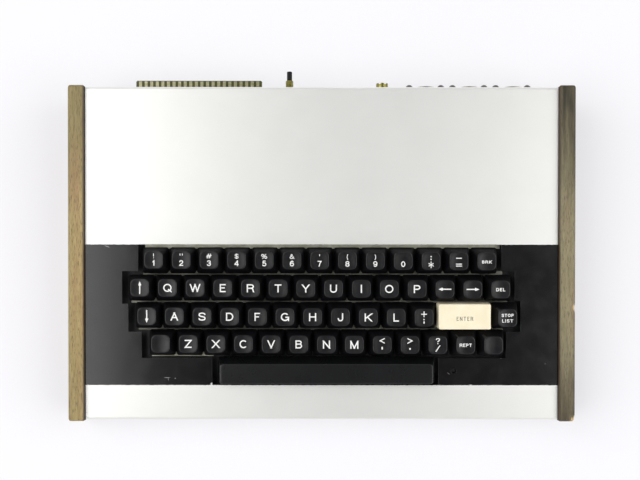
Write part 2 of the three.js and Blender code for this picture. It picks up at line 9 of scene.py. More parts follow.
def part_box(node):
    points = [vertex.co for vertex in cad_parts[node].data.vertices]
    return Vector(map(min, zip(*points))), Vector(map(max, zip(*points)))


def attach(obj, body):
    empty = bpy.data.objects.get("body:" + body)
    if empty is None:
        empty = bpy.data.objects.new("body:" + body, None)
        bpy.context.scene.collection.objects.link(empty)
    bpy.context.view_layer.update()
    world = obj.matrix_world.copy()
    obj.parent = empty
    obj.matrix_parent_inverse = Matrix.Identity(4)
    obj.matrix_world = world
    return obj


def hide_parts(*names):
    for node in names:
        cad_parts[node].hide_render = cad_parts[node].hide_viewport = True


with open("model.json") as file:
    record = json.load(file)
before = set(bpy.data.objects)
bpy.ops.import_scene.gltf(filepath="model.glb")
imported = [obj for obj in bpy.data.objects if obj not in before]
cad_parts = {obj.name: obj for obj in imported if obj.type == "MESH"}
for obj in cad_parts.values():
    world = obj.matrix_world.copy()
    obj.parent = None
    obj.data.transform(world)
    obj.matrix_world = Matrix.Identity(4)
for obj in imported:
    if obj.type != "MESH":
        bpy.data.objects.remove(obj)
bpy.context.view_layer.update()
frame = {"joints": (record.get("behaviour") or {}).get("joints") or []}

# A low wedge-shaped home computer: folded aluminium cover, wooden cheeks, full-travel keyboard, sockets at
# the back. Sizes are millimetres, and a mesh is scaled to metres where it is placed.
mm = 0.001

case = {
    "backHeight": 50.0,      # the cover's top at the back, above the desk
    "frontHeight": 32.0,
    "floorHeight": 4.0,      # the cover's lower edges
    "sheet": 1.5,
    "bendRadius": 2.0,
    "cheekOverhang": 0.8,
    "cheekRise": 3.0,
    "cheekGround": 2.0,
    "cheekGap": 0.3,
    "innerGap": 0.3,         # between what stands inside and the walls
}
keyboard = {
    "pitch": 19.05,
    "capBase": 18.2,
    "capDrop": 1.0,          # the caps' lower edges below the cover's top
    "rearDeck": 109.9,       # from the back edge down the slope to the opening
    "stemSize": 4.4,
    "stemCorner": 0.35,
    "stemReach": 3.5,
    "turn": -0.0045,         # the tops lean more towards the right end, as a share of the way across
    "sway": 0.008,           # and outwards, right of the middle
}
# Rows from the back: where each starts from the back row's first key, how many pitches it takes, how far
# the opening stands off its end keys, its back and its front, all in shares of the pitch, and how far the
# caps' tops lean to the back, in millimetres
keyRows = [
    {"start": 0, "units": 13, "left": 0.152, "right": 0.176, "back": 0.105, "front": 0.1, "lean": 0.15,
     "keys": "1 2 3 4 5 6 7 8 9 0 colon minus break"},
    {"start": -0.5, "units": 14, "left": 0.242, "right": 0.163, "back": 0.123, "front": 0.108, "lean": -0.1,
     "keys": "up q w e r t y u i o p left right delete"},
    {"start": -0.25, "units": 14, "left": 0.264, "right": 0.125, "back": 0.052, "front": 0.131,
     "lean": -0.75, "keys": "down a s d f g h j k l plus enter_key stop_list"},
    {"start": 0.25, "units": 13, "left": 0.277, "right": 0.09, "back": 0.1, "front": 0.092, "lean": -0.55,
     "keys": "blank_left z x c v b n m comma period slash repeat blank_right"},
    {"start": 2.75, "units": 8, "left": 0.2, "right": 0.12, "back": 0.1, "front": 0.09, "lean": 0,
     "keys": "space_bar"},
]
wideUnits = {"enter_key": 2, "space_bar": 8}

# The deck's own frame: origin at the cover's back top edge, -Y down the slope, Z square to it
pressAxis = next(j["axis"] for j in frame["joints"] if j["name"] == "space_bar_press")
slope = math.asin(pressAxis[1])
cheekLow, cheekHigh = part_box("left_cheek")
coverLow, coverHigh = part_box("top_cover")
sheetWidth = (coverHigh.x - coverLow.x) / mm
backY = cheekHigh.y / mm - case["cheekOverhang"]
frontY = cheekLow.y / mm + case["cheekOverhang"]
sheetLength = (backY - frontY) / math.cos(slope)
asBuilt = Matrix.Identity(4)
standPlace = Matrix.Scale(mm, 4)
deckOrigin = Vector((0, backY, case["backHeight"])) * mm
deckPlace = Matrix.Translation(deckOrigin) @ Matrix.Rotation(slope, 4, "X") @ standPlace
pitch = keyboard["pitch"]
halfCap = keyboard["capBase"] / 2
firstKeyX = sum(corner.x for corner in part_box("key_1")) / 2 / mm
firstRowY = -(keyboard["rearDeck"] + pitch * keyRows[0]["back"] + halfCap)


def toLinear(colour):
    parts = [int(colour[i:i + 2], 16) / 255 for i in (1, 3, 5)]
    return [c / 12.92 if c <= 0.04045 else ((c + 0.055) / 1.055) ** 2.4 for c in parts] + [1.0]


# A socket's source is a node, a socket, a colour or a plain value
def connect(node, links):
    for socket, source in links.items():
        if isinstance(source, bpy.types.Node):
            source = source.outputs[0]
        if isinstance(source, bpy.types.NodeSocket):
            node.id_data.links.new(source, node.inputs[socket])
        else:
            node.inputs[socket].default_value = toLinear(source) if isinstance(source, str) else source


def addNode(tree, kind, links=None, **settings):
    node = tree.nodes.new(kind)
    for name, value in settings.items():
        setattr(node, name, value)
    connect(node, links or {})
    return node


def addObject(name, data):
    thing = bpy.data.objects.new(name, data)
    bpy.context.scene.collection.objects.link(thing)
    return thing


print("camera and light")
cameraView = {"place": (-1.22, -37.66, 659.37), "turn": (3.825, -0.006, 0.039), "lens": 50.0, "nearest": 10}
lighting = {
    "left": {"place": (-1.12, 0.01, 1.35), "alongDesk": 1.8, "upwards": 1.46, "power": 19.9},
    "right": {"place": (1.38, -0.15, 1.3), "alongDesk": 1.8, "upwards": 1.6, "power": 19.8},
    "horizon": "#e6e6e8",
    "zenith": "#5a5a5c",
    "darkening": (0.45, 0.95),
}
camera = addObject("camera", bpy.data.cameras.new("camera"))
camera.data.lens = cameraView["lens"]
camera.data.clip_start = cameraView["nearest"] * mm
camera.location = Vector(cameraView["place"]) * mm
camera.rotation_euler = [math.radians(angle) for angle in cameraView["turn"]]
bpy.context.scene.camera = camera
bpy.context.scene.view_settings.view_transform = "Standard"

for side in ("left", "right"):
    aim = lighting[side]
    softbox = bpy.data.lights.new("softbox_" + side, "AREA")
    softbox.shape = "RECTANGLE"
    softbox.size = aim["alongDesk"]
    softbox.size_y = aim["upwards"]
    softbox.energy = aim["power"]
    lamp = addObject("softbox_" + side, softbox)
    lamp.location = aim["place"]
    lamp.rotation_euler = Vector(aim["place"]).to_track_quat("Z", "Y").to_euler()

# Pale all round, darker straight above, where the photographer's own shape keeps the light away
world = bpy.data.worlds.new("studio")
bpy.context.scene.world = world
world.use_nodes = True
sky = world.node_tree
sky.nodes.clear()
skyWay = addNode(sky, "ShaderNodeTexCoord")
skyParts = addNode(sky, "ShaderNodeSeparateXYZ", {0: skyWay.outputs["Generated"]})
skyHeight = addNode(sky, "ShaderNodeMapRange", {
    "Value": skyParts.outputs["Z"], "From Min": lighting["darkening"][0],
    "From Max": lighting["darkening"][1]}, interpolation_type="SMOOTHSTEP")
skyColour = addNode(sky, "ShaderNodeMix", {
    0: skyHeight, 6: lighting["horizon"], 7: lighting["zenith"]}, data_type="RGBA")
skyLight = addNode(sky, "ShaderNodeBackground", {"Color": skyColour.outputs[2], "Strength": 1.0})
addNode(sky, "ShaderNodeOutputWorld", {"Surface": skyLight})

print("materials")


def newMaterial(name, surface):
    material = bpy.data.materials.new(name)
    material.use_nodes = True
    tree = material.node_tree
    tree.nodes.clear()
    shader = addNode(tree, "ShaderNodeBsdfPrincipled", surface)
    addNode(tree, "ShaderNodeOutputMaterial", {"Surface": shader})
    place = addNode(tree, "ShaderNodeTexCoord").outputs["Object"]
    return material, tree, shader, place


# Soft noise of a real size, as a share from 0 to 1 between two levels of the noise
def speckle(tree, place, size, low=0.35, high=0.65, detail=3.0):
    grain = addNode(tree, "ShaderNodeTexNoise", {
        "Vector": place, "Scale": 1 / (size * mm), "Detail": detail, "Roughness": 0.55})
    return addNode(tree, "ShaderNodeMapRange", {
        "Value": grain.outputs["Fac"], "From Min": low, "From Max": high})


def blendColours(tree, share, first, second):
    return addNode(tree, "ShaderNodeMix", {
        0: share, 6: first, 7: second}, data_type="RGBA").outputs[2]


# What every surface ends in: its colour, its roughness and the relief of its skin, in millimetres
def dress(tree, shader, colour, rough, relief, depth, strength):
    bump = addNode(tree, "ShaderNodeBump", {"Height": relief, "Distance": depth * mm, "Strength": strength})
    connect(shader, {"Base Color": colour, "Roughness": rough, "Normal": bump})


# Two close tones in soft patches, a roughness that wanders and a fine skin, all from sizes in millimetres
def finish(name, light, dark, patch, roughness, skinSize, skinHeight, surface):
    material, tree, shader, place = newMaterial(name, surface)
    colour = blendColours(tree, speckle(tree, place, patch), light, dark)
    rough = addNode(tree, "ShaderNodeMapRange", {
        "Value": speckle(tree, place, patch * 0.4), "To Min": roughness[0], "To Max": roughness[1]})
    dress(tree, shader, colour, rough, speckle(tree, place, skinSize, 0.2, 0.8), skinHeight, 0.6)
    return material


# Keycaps: black ABS, moulded with a fine satin texture that fingers have polished on top; the tops' copy is
# lighter and more reflective than the sides' painted-shade copy
blackAbs = finish("black_abs", "#131315", "#0d0d0f", 7.0, (0.29, 0.37), 0.35, 0.005,
                  {"IOR": 1.53, "Specular IOR Level": 0.43})
# Their sides get a darker copy that hardly reflects, painted shade for the dark surroundings the steep
# skirts face, with the mould's duller texture
shadedSideAbs = finish("black_abs_shaded_sides", "#101012", "#0b0b0d", 7.0, (0.42, 0.5), 0.35, 0.005,
                 {"IOR": 1.53, "Specular IOR Level": 0.1})
spaceAbs = finish("space_bar_abs", "#101112", "#0d0e0e", 30.0, (0.27, 0.29), 0.35, 0.0015, {"IOR": 1.53})
# ENTER: cream ABS, a little yellowed
creamAbs = finish("cream_abs", "#f4ebcf", "#efe4c4", 9.0, (0.36, 0.44), 0.4, 0.005, {"IOR": 1.53})
# Legends: the caps' second shot, white ABS
whiteAbs = finish("white_legend_abs", "#f2f2ee", "#e2e2de", 2.5, (0.4, 0.5), 0.3, 0.004, {"IOR": 1.53})
greyAbs = finish("grey_legend_abs", "#78756c", "#68665e", 2.5, (0.4, 0.5), 0.3, 0.004, {"IOR": 1.53})
# Switch plate: painted black, standing in for the shade deep in the opening between the keys; the rails on
# it are zinc-plated with a cloudy yellowish chromate film and painted light, a bright copy and a darker
# patchy copy, for the light that falls along the gaps between rows
shadeBlackSteel = finish("shade_black_steel", "#18181a", "#101011", 5.0, (0.5, 0.6), 0.6, 0.01, {"IOR": 1.5})
litZincPlate = finish("lit_zinc_plated_steel", "#dcdccb", "#b9b9a0", 9.0, (0.4, 0.5), 0.6, 0.01, {"Metallic": 0.3})
patchyShadeZinc = finish("patchy_shade_zinc_steel", "#a3a293", "#45443e", 24.0, (0.5, 0.6), 0.6, 0.01, {"Metallic": 0.3})
switchNylon = finish("switch_nylon", "#26262a", "#1b1b1e", 6.0, (0.4, 0.5), 0.4, 0.006, {"IOR": 1.53})
# Circuit board: glass epoxy under olive-green resist, a woven look too fine to show
boardResist = finish("board_resist", "#4b4b16", "#3d3e10", 4.0, (0.34, 0.46), 0.5, 0.008, {"IOR": 1.5})
# Tinned contacts: dull grey solder tin with a warm cast
tinPlate = finish("tinned_copper", "#c2bf9c", "#a6a380", 1.8, (0.3, 0.44), 0.3, 0.006, {"Metallic": 0.9})
brass = finish("passivated_brass", "#a09a58", "#6b6733", 1.2, (0.26, 0.38), 0.3, 0.008, {"Metallic": 0.9})
nickel = finish("nickel_plate", "#a19e8f", "#8b887b", 2.5, (0.3, 0.42), 0.3, 0.006, {"Metallic": 0.95})
steelScrew = finish("zinc_screw", "#7f7e77", "#66655f", 1.5, (0.32, 0.46), 0.25, 0.008, {"Metallic": 0.95})
# Reset plunger: unpolished phenolic, which hardly shines
phenolic = finish("black_phenolic", "#0d0c10", "#09090b", 2.0, (0.5, 0.6), 0.3, 0.006,
                  {"IOR": 1.6, "Specular IOR Level": 0.2})
blackResin = finish("socket_resin", "#161616", "#0e0e0e", 2.5, (0.4, 0.52), 0.3, 0.006, {"IOR": 1.55})
chipEpoxy = finish("chip_epoxy", "#222224", "#18181a", 3.0, (0.45, 0.58), 0.3, 0.008, {"IOR": 1.55})
rubber = finish("foot_rubber", "#1c1b1a", "#131312", 4.0, (0.7, 0.82), 0.5, 0.02, {"IOR": 1.52})
# Tray: black stoved paint with a faint orange peel
trayPaint = finish("tray_paint", "#2c2c2c", "#232323", 20.0, (0.5, 0.6), 1.4, 0.03, {"IOR": 1.5})
# Lamp: dark red acrylic, almost black when it is off
lampLens = finish("lamp_lens", "#0e0707", "#090505", 1.5, (0.3, 0.4), 0.5, 0.003, {"IOR": 1.49})
tvPolythene = finish("socket_polythene", "#e3dfd0", "#d4cfbd", 2.0, (0.4, 0.5), 0.3, 0.005, {"IOR": 1.5})
canTin = finish("tinned_can", "#c4c3b8", "#adaca0", 4.0, (0.25, 0.4), 0.6, 0.01, {"Metallic": 0.95})

# Cover: fine-brushed aluminium, clear anodised, which gives a soft broad sheen, with black enamel sprayed
# over the keyboard zone and into the opening's walls
coverFinish = {
    "metal": "#f6f6f2",
    "metalDark": "#f4f4f0",
    "bare": "#d8d7d0",       # metal that shows through the enamel
    "paint": "#0b0b0c",
    "paintWorn": "#141415",
    "bandBack": 109.9,       # down the slope, from the back edge
    "bandFront": 208.0,
    "brushLength": 22.0,
    "brushWidth": 0.35,
    "brushDepth": 0.004,
    "bandDepth": 1.45,       # the enamel runs this far down the opening's walls
    "edgeWobble": 0.12,
    "wobbleSize": 2.2,
    "metalPatch": 34.0,
    "wearPatch": 11.0,
    "metallic": 0.8,
    "metalRoughness": (0.42, 0.5),
    "paintRoughness": (0.16, 0.2),
    # chips and scratches: place on the deck, half length, half width, turn and strength
    "marks": [
        (88.5, -199.8, 1.3, 0.2, -33, 0.25), (-107.7, -202.8, 2.6, 0.28, 0, 0.35),
        (-106.9, -204.0, 0.25, 1.0, 5, 0.3), (-102.1, -203.3, 0.5, 0.4, 0, 0.35),
        (-76.5, -207.4, 1.2, 1.3, 20, 1.0), (155.9, -193.0, 0.6, 0.5, 0, 0.1),
        (125.1, -189.1, 0.5, 0.4, 0, 0.15), (-149.5, -111.3, 2.2, 0.25, -20, 0.5),
        (-141.0, -109.7, 2.4, 0.45, 3, 0.9), (-134.5, -109.8, 1.4, 0.4, -5, 0.8),
        (-129.8, -109.6, 0.8, 0.5, 0, 0.8), (-38.0, -207.8, 1.5, 0.35, 2, 0.8),
        (104.0, -207.8, 1.1, 0.3, 0, 0.7), (151.0, -109.8, 1.6, 0.35, 2, 0.7),
    ],
}


def makeCoverMaterial():
    look = coverFinish
    material, tree, shader, place = newMaterial("anodised_aluminium", {"IOR": 1.6})
    onDeck = addNode(tree, "ShaderNodeMapping", {
        "Vector": place, "Location": deckOrigin, "Rotation": (slope, 0, 0)}, vector_type="TEXTURE")
    deckParts = addNode(tree, "ShaderNodeSeparateXYZ", {0: onDeck})
    # brushing runs across the sheet
    stretched = addNode(tree, "ShaderNodeMapping", {
        "Vector": onDeck, "Scale": (look["brushWidth"] / look["brushLength"], 1.0, 1.0)})
    brushed = speckle(tree, stretched, look["brushWidth"], 0.3, 0.7, 2.0)
    metal = blendColours(tree, speckle(tree, place, look["metalPatch"]), look["metal"], look["metalDark"])
    # the enamel's edge wanders a little
    wobble = addNode(tree, "ShaderNodeTexNoise", {
        "Vector": place, "Scale": 1 / (look["wobbleSize"] * mm), "Detail": 4.0, "Roughness": 0.65})
    shift = addNode(tree, "ShaderNodeMapRange", {
        "Value": wobble.outputs["Fac"], "From Min": 0.3, "From Max": 0.7,
        "To Min": -look["edgeWobble"] * mm, "To Max": look["edgeWobble"] * mm})
    down = addNode(tree, "ShaderNodeMath", {0: deckParts.outputs["Y"], 1: shift}, operation="ADD")
    painted = 1.0
    for part, test, limit in (
        (down, "LESS_THAN", -look["bandBack"]),
        (down, "GREATER_THAN", -look["bandFront"]),
        (deckParts.outputs["Z"], "GREATER_THAN", -look["bandDepth"]),
    ):
        inside = addNode(tree, "ShaderNodeMath", {0: part, 1: limit * mm}, operation=test)
        painted = addNode(tree, "ShaderNodeMath", {0: painted, 1: inside}, operation="MULTIPLY")
    worn = speckle(tree, place, look["wearPatch"], 0.4, 0.75)
    paint = blendColours(tree, worn, look["paint"], look["paintWorn"])
    for x, y, halfLength, halfWidth, turn, strength in look["marks"]:
        local = addNode(tree, "ShaderNodeMapping", {
            "Vector": onDeck, "Location": (x * mm, y * mm, 0), "Rotation": (0, 0, math.radians(turn)),
            "Scale": (halfLength * mm, halfWidth * mm, 4 * mm)}, vector_type="TEXTURE")
        away = addNode(tree, "ShaderNodeVectorMath", {0: local}, operation="LENGTH")
        shown = addNode(tree, "ShaderNodeMapRange", {
            "Value": away.outputs["Value"], "From Min": 1.0, "From Max": 0.6, "To Max": strength})
        paint = blendColours(tree, shown, paint, look["bare"])
    metallic = addNode(tree, "ShaderNodeMapRange", {
        "Value": painted, "To Min": look["metallic"], "To Max": 0.0})
    connect(shader, {"Metallic": metallic})
    rough = addNode(tree, "ShaderNodeMix", {0: painted}, data_type="FLOAT")
    for socket, noise, ends in ((2, brushed, look["metalRoughness"]), (3, worn, look["paintRoughness"])):
        level = addNode(tree, "ShaderNodeMapRange", {"Value": noise, "To Min": ends[0], "To Max": ends[1]})
        connect(rough, {socket: level})
    dress(tree, shader, blendColours(tree, painted, metal, paint), rough, brushed, look["brushDepth"], 0.5)
    return material


coverMetal = makeCoverMaterial()

# Cheeks: an oiled open-grained hardwood, sawn along the grain, darker where hands and dirt have been
woods = {
    "left_cheek": {
        "light": "#b5a16c", "middle": "#a08b5b", "dark": "#77643f", "pink": "#ad8d63", "edge": "#2c1d11",
        "dirt": "#66603f", "bare": "#2c1d11", "back": 0.55, "front": 0.2, "grainStart": 0.013,
        "chips": [(-176.0, -106.0, 33.5, 1.6)],
    },
    "right_cheek": {
        # the right cheek's tones are darker than the left's, painted shade for the weaker light on the right
        "light": "#9d9372", "middle": "#83795a", "dark": "#5c5640", "pink": "#938062", "edge": "#3c2a17",
        "dirt": "#2c2716", "bare": "#c9ac7c", "back": 1.0, "front": 0.92, "grainStart": 0.041,
        "chips": [(176.0, -43.5, 40.7, 2.3), (175.6, -121.4, 33.8, 3.2)],
    },
}
# Pattern sizes, how far the grain and the pores are drawn out, and how far a chip's edge is torn
woodGrain = {
    "broad": 4.5, "blush": 7.5, "fine": 0.9, "pore": 0.45, "dirt": 6.0, "lean": (0.05, 0, 0.02),
    "drawn": 0.02, "poresDrawn": 0.08, "torn": (-0.9, 1.5), "poreDepth": 0.08,
}
# Along the case in metres, where the dirt towards an end begins and where it is full
dirtReach = {"back": (0.0, 0.09), "front": (-0.045, -0.115)}
# Across a board from the cover's edge: where a stripe begins, where it is full, how strong, which tone. The
# dark stripe by the cover is painted shade in the corner between cheek and cover, and the stripe on the
# outer rounded edge, in the dirt tone, is a painted reflection
paintedEdgeShade = [(1.5, 0.3, 0.95, "edge"), (9.3, 11.3, 0.4, "dirt")]


def makeWoodMaterial(side):
    look = woods[side]
    material, tree, shader, place = newMaterial("oiled_wood_" + side, {"IOR": 1.5})
    along = addNode(tree, "ShaderNodeMapping", {
        "Vector": place, "Location": (look["grainStart"], 0, 0), "Rotation": woodGrain["lean"],
        "Scale": (1.0, woodGrain["drawn"], 1.0)})
    pores = addNode(tree, "ShaderNodeMapping", {
        "Vector": place, "Scale": (1.0, woodGrain["poresDrawn"], 1.0)})
    fine = speckle(tree, along, woodGrain["fine"], 0.35, 0.7)
    poreShare = speckle(tree, pores, woodGrain["pore"], 0.56, 0.68, 1.0)
    colour = look["light"]
    for pattern, strength, tone in (
        (speckle(tree, along, woodGrain["broad"], 0.32, 0.68, 2.0), 1.0, "middle"),
        (speckle(tree, along, woodGrain["blush"], 0.5, 0.72, 1.0), 1.0, "pink"),
        (fine, 0.45, "dark"),
        (poreShare, 0.55, "edge"),
    ):
        share = addNode(tree, "ShaderNodeMath", {0: pattern, 1: strength}, operation="MULTIPLY")
        colour = blendColours(tree, share, colour, look[tone])
    parts = addNode(tree, "ShaderNodeSeparateXYZ", {0: place})
    for end, limits in dirtReach.items():
        reach = addNode(tree, "ShaderNodeMapRange", {
            "Value": parts.outputs["Y"], "From Min": limits[0], "From Max": limits[1],
            "To Max": look[end]}, interpolation_type="SMOOTHSTEP")
        cloud = speckle(tree, along, woodGrain["dirt"], 0.15, 0.6)
        share = addNode(tree, "ShaderNodeMath", {0: reach, 1: cloud}, operation="MULTIPLY")
        colour = blendColours(tree, share, colour, look["dirt"])
    away = addNode(tree, "ShaderNodeMath", {0: parts.outputs["X"]}, operation="ABSOLUTE")
    # painted shade along the inner edge and a painted reflection on the outer edge
    for start, full, strength, tone in paintedEdgeShade:
        stripe = addNode(tree, "ShaderNodeMapRange", {
            "Value": away, "From Min": (sheetWidth / 2 + start) * mm,
            "From Max": (sheetWidth / 2 + full) * mm, "To Max": strength})
        colour = blendColours(tree, stripe, colour, look[tone])
    # bare wood where a chip has broken off, its edge torn along the grain
    torn = addNode(tree, "ShaderNodeMapRange", {
        "Value": speckle(tree, pores, woodGrain["fine"], 0.3, 0.7, 2.0), "To Min": woodGrain["torn"][0] * mm,
        "To Max": woodGrain["torn"][1] * mm})
    for x, y, z, radius in look["chips"]:
        distance = addNode(tree, "ShaderNodeVectorMath", {
            0: place, 1: Vector((x, y, z)) * mm}, operation="DISTANCE")
        reach = addNode(tree, "ShaderNodeMath", {0: distance.outputs["Value"], 1: torn}, operation="ADD")
        bare = addNode(tree, "ShaderNodeMapRange", {
            "Value": reach, "From Min": radius * mm, "From Max": radius * 0.6 * mm})
        colour = blendColours(tree, bare, colour, look["bare"])
    rough = addNode(tree, "ShaderNodeMapRange", {"Value": fine, "To Min": 0.55, "To Max": 0.72})
    depth = addNode(tree, "ShaderNodeMath", {0: 1.0, 1: poreShare}, operation="SUBTRACT")
    dress(tree, shader, colour, rough, depth, woodGrain["poreDepth"], 0.7)
    return material


# The floor keeps the object's shadow, and its glow that only the camera, metal and glass see makes it pale
floorGlow = 0.5
floorReach = 4


def makeFloor():
    material, tree, shader, place = newMaterial("studio_paper", {"IOR": 1.4})
    colour = blendColours(tree, speckle(tree, place, 900.0), "#fbfafd", "#f8f7fb")
    dress(tree, shader, colour, 0.85, speckle(tree, place, 1.2), 0.02, 0.3)
    ray = addNode(tree, "ShaderNodeLightPath")
    share = ray.outputs["Is Camera Ray"]
    for kind in ("Is Glossy Ray", "Is Transmission Ray"):
        share = addNode(tree, "ShaderNodeMath", {0: share, 1: ray.outputs[kind]}, operation="MAXIMUM")
    amount = addNode(tree, "ShaderNodeMath", {0: share, 1: floorGlow}, operation="MULTIPLY")
    glow = addNode(tree, "ShaderNodeEmission", {"Color": "#f4f3f6", "Strength": 1.0})
    mixed = addNode(tree, "ShaderNodeMixShader", {0: amount, 1: shader, 2: glow})
    output = next(node for node in tree.nodes if node.bl_idname == "ShaderNodeOutputMaterial")
    connect(output, {"Surface": mixed})
    mesh = bpy.data.meshes.new("studio_floor")
    corners = [(x * floorReach, y * floorReach, 0) for x, y in ((-1, -1), (1, -1), (1, 1), (-1, 1))]
    mesh.from_pydata(corners, [], [(0, 1, 2, 3)])
    mesh.materials.append(material)
    addObject("studio_floor", mesh)


makeFloor()


# Mesh helpers: points and faces in millimetres
def newPiece(name, form, material):
    mesh = bpy.data.meshes.new(name)
    mesh.from_pydata(form[0], [], form[1])
    mesh.materials.append(material)
    mesh.shade_smooth()
    return addObject(name, mesh)


def joined(forms):
    points, faces = [], []
    for formPoints, formFaces in forms:
        first = len(points)
        points += formPoints
        faces += [tuple(first + i for i in face) for face in formFaces]
    return points, faces


def moved(form, place):
    return [place @ Vector(point) for point in form[0]], form[1]


# Rings of equally many points, skinned into a closed form with a fan at each end
def skin(rings, startPoint, endPoint):
    count = len(rings[0])
    points = [point for ring in rings for point in ring]
    faces = []
    for level in range(len(rings) - 1):
        low = level * count
        for i in range(count):
            j = (i + 1) % count
            faces.append((low + i, low + j, low + count + j, low + count + i))
    last = (len(rings) - 1) * count
    points += [startPoint, endPoint]
    for i in range(count):
        j = (i + 1) % count
        faces.append((len(points) - 2, j, i))
        faces.append((len(points) - 1, last + i, last + j))
    return points, faces


# Outlines: a circle as (x, y) pairs, and a level rectangle with round corners
def circle(x, y, radius, sides=40):
    angles = [2 * math.pi * i / sides for i in range(sides)]
    return [(x + radius * math.cos(a), y + radius * math.sin(a)) for a in angles]


def roundedRing(width, depth, corner, height, shift=0.0, sideSteps=4):
    cornerSteps = 6
    corners = []
    for quarter, (sideX, sideY) in enumerate(((1, 1), (-1, 1), (-1, -1), (1, -1))):
        middle = Vector((sideX * (width / 2 - corner), sideY * (depth / 2 - corner) + shift, height))
        angles = [(quarter + step / cornerSteps) * math.pi / 2 for step in range(cornerSteps + 1)]
        corners.append([middle + corner * Vector((math.cos(a), math.sin(a), 0)) for a in angles])
    ring = []
    for start, end in zip(corners, corners[1:] + corners[:1]):
        ring += start + [start[-1].lerp(end[0], step / sideSteps) for step in range(1, sideSteps)]
    return ring


# A turned form about Z from (radius, height) pairs, bottom to top
def turned(profile, sides=32):
    rings = [[Vector((x, y, height)) for x, y in circle(0, 0, radius, sides)] for radius, height in profile]
    return skin(rings, Vector((0, 0, profile[0][1])), Vector((0, 0, profile[-1][1])))


# A flat outline raised between two heights
def prism(outline, low, high):
    count = len(outline)
    points = [Vector((x, y, low)) for x, y in outline] + [Vector((x, y, high)) for x, y in outline]
    faces = [tuple(reversed(range(count))), tuple(range(count, 2 * count))]
    faces += [(i, (i + 1) % count, count + (i + 1) % count, count + i) for i in range(count)]
    return points, faces


def block(low, high):
    outline = [(low[0], low[1]), (high[0], low[1]), (high[0], high[1]), (low[0], high[1])]
    return prism(outline, low[2], high[2])


# Eased edges: width, segments and the angle from which an edge is eased
def bevelled(piece, width, segments=2, angle=35):
    bevel = piece.modifiers.new("edges", "BEVEL")
    bevel.width = width
    bevel.segments = segments
    bevel.limit_method = "ANGLE"
    bevel.angle_limit = math.radians(angle)
    weighted = piece.modifiers.new("flat_faces", "WEIGHTED_NORMAL")
    weighted.weight = 100


# Another solid cuts a piece or is joined to it, once the piece is settled
def combined(piece, tool, operation):
    change = piece.modifiers.new("tool", "BOOLEAN")
    change.operation = operation
    change.solver = "EXACT"
    change.object = tool


# Faces turned outwards, once points that lie together are one
def turnedOut(piece):
    shape = bmesh.new()
    shape.from_mesh(piece.data)
    bmesh.ops.remove_doubles(shape, verts=shape.verts, dist=0.0005)
    bmesh.ops.recalc_face_normals(shape, faces=shape.faces)
    shape.to_mesh(piece.data)
    shape.free()


# Modifiers are worked into the mesh, which then goes to its place, and a boolean's tool is taken away; a
# bevelled piece keeps its normals
def settled(piece, place, sharp=32, turnOut=False):
    if turnOut:
        turnedOut(piece)
    scene = bpy.context.evaluated_depsgraph_get()
    scene.update()
    mesh = bpy.data.meshes.new_from_object(piece.evaluated_get(scene))
    weighted = "flat_faces" in piece.modifiers
    tools = [change.object for change in piece.modifiers if change.type == "BOOLEAN"]
    piece.modifiers.clear()
    old = piece.data
    piece.data = mesh
    bpy.data.meshes.remove(old)
    for tool in tools:
        bpy.data.objects.remove(tool)
    mesh.name = piece.name
    mesh.transform(place)
    if not weighted:
        mesh.shade_smooth()
        mesh.set_sharp_from_angle(angle=math.radians(sharp))
    return piece


# A piece in its place: what it rides on, a material slot name that is not used, and the nodes it stands for
def handIn(piece, place, body, slot, *nodes, ease=None, sharp=32, turnOut=False):
    if ease:
        bevelled(piece, *ease)
    settled(piece, place, sharp, turnOut)
    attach(piece, body)
    if nodes:
        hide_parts(*nodes)


# Geometry Nodes: a tree with named sizes, which gives its sizes' sockets
def newTree(name, sizes, takesPoints=False):
    tree = bpy.data.node_groups.new(name, "GeometryNodeTree")
    tree.interface.new_socket("Mesh", in_out="OUTPUT", socket_type="NodeSocketGeometry")
    if takesPoints:
        tree.interface.new_socket("Places", in_out="INPUT", socket_type="NodeSocketGeometry")
    for label, value in sizes.items():
        kind = "NodeSocketInt" if isinstance(value, int) else "NodeSocketFloat"
        tree.interface.new_socket(label, in_out="INPUT", socket_type=kind)
    return tree, addNode(tree, "NodeGroupInput").outputs


# A box in a tree
def cubeOf(tree, x, y, z):
    return addNode(tree, "GeometryNodeMeshCube", {
        "Size": addNode(tree, "ShaderNodeCombineXYZ", {"X": x, "Y": y, "Z": z})})


# One thing in a row, a step apart
def rowOf(tree, thing, count, step, x, y, z):
    line = addNode(tree, "GeometryNodeMeshLine", {
        "Count": count, "Start Location": addNode(tree, "ShaderNodeCombineXYZ", {"X": x, "Y": y, "Z": z}),
        "Offset": addNode(tree, "ShaderNodeCombineXYZ", {"X": step})}, mode="OFFSET")
    return addNode(tree, "GeometryNodeInstanceOnPoints", {"Points": line, "Instance": thing})


# A piece grown from its tree: instances are made real and get their material
def grown(name, tree, geometry, sizes, material, places=()):
    real = addNode(tree, "GeometryNodeRealizeInstances", {0: geometry})
    coloured = addNode(tree, "GeometryNodeSetMaterial", {"Geometry": real, "Material": material})
    addNode(tree, "NodeGroupOutput", {0: coloured})
    piece = newPiece(name, ([Vector(place) for place in places], []), material)
    growth = piece.modifiers.new("growth", "NODES")
    growth.node_group = tree
    for item in tree.interface.items_tree:
        if item.in_out == "INPUT" and item.name in sizes:
            growth[item.identifier] = sizes[item.name]
    return piece


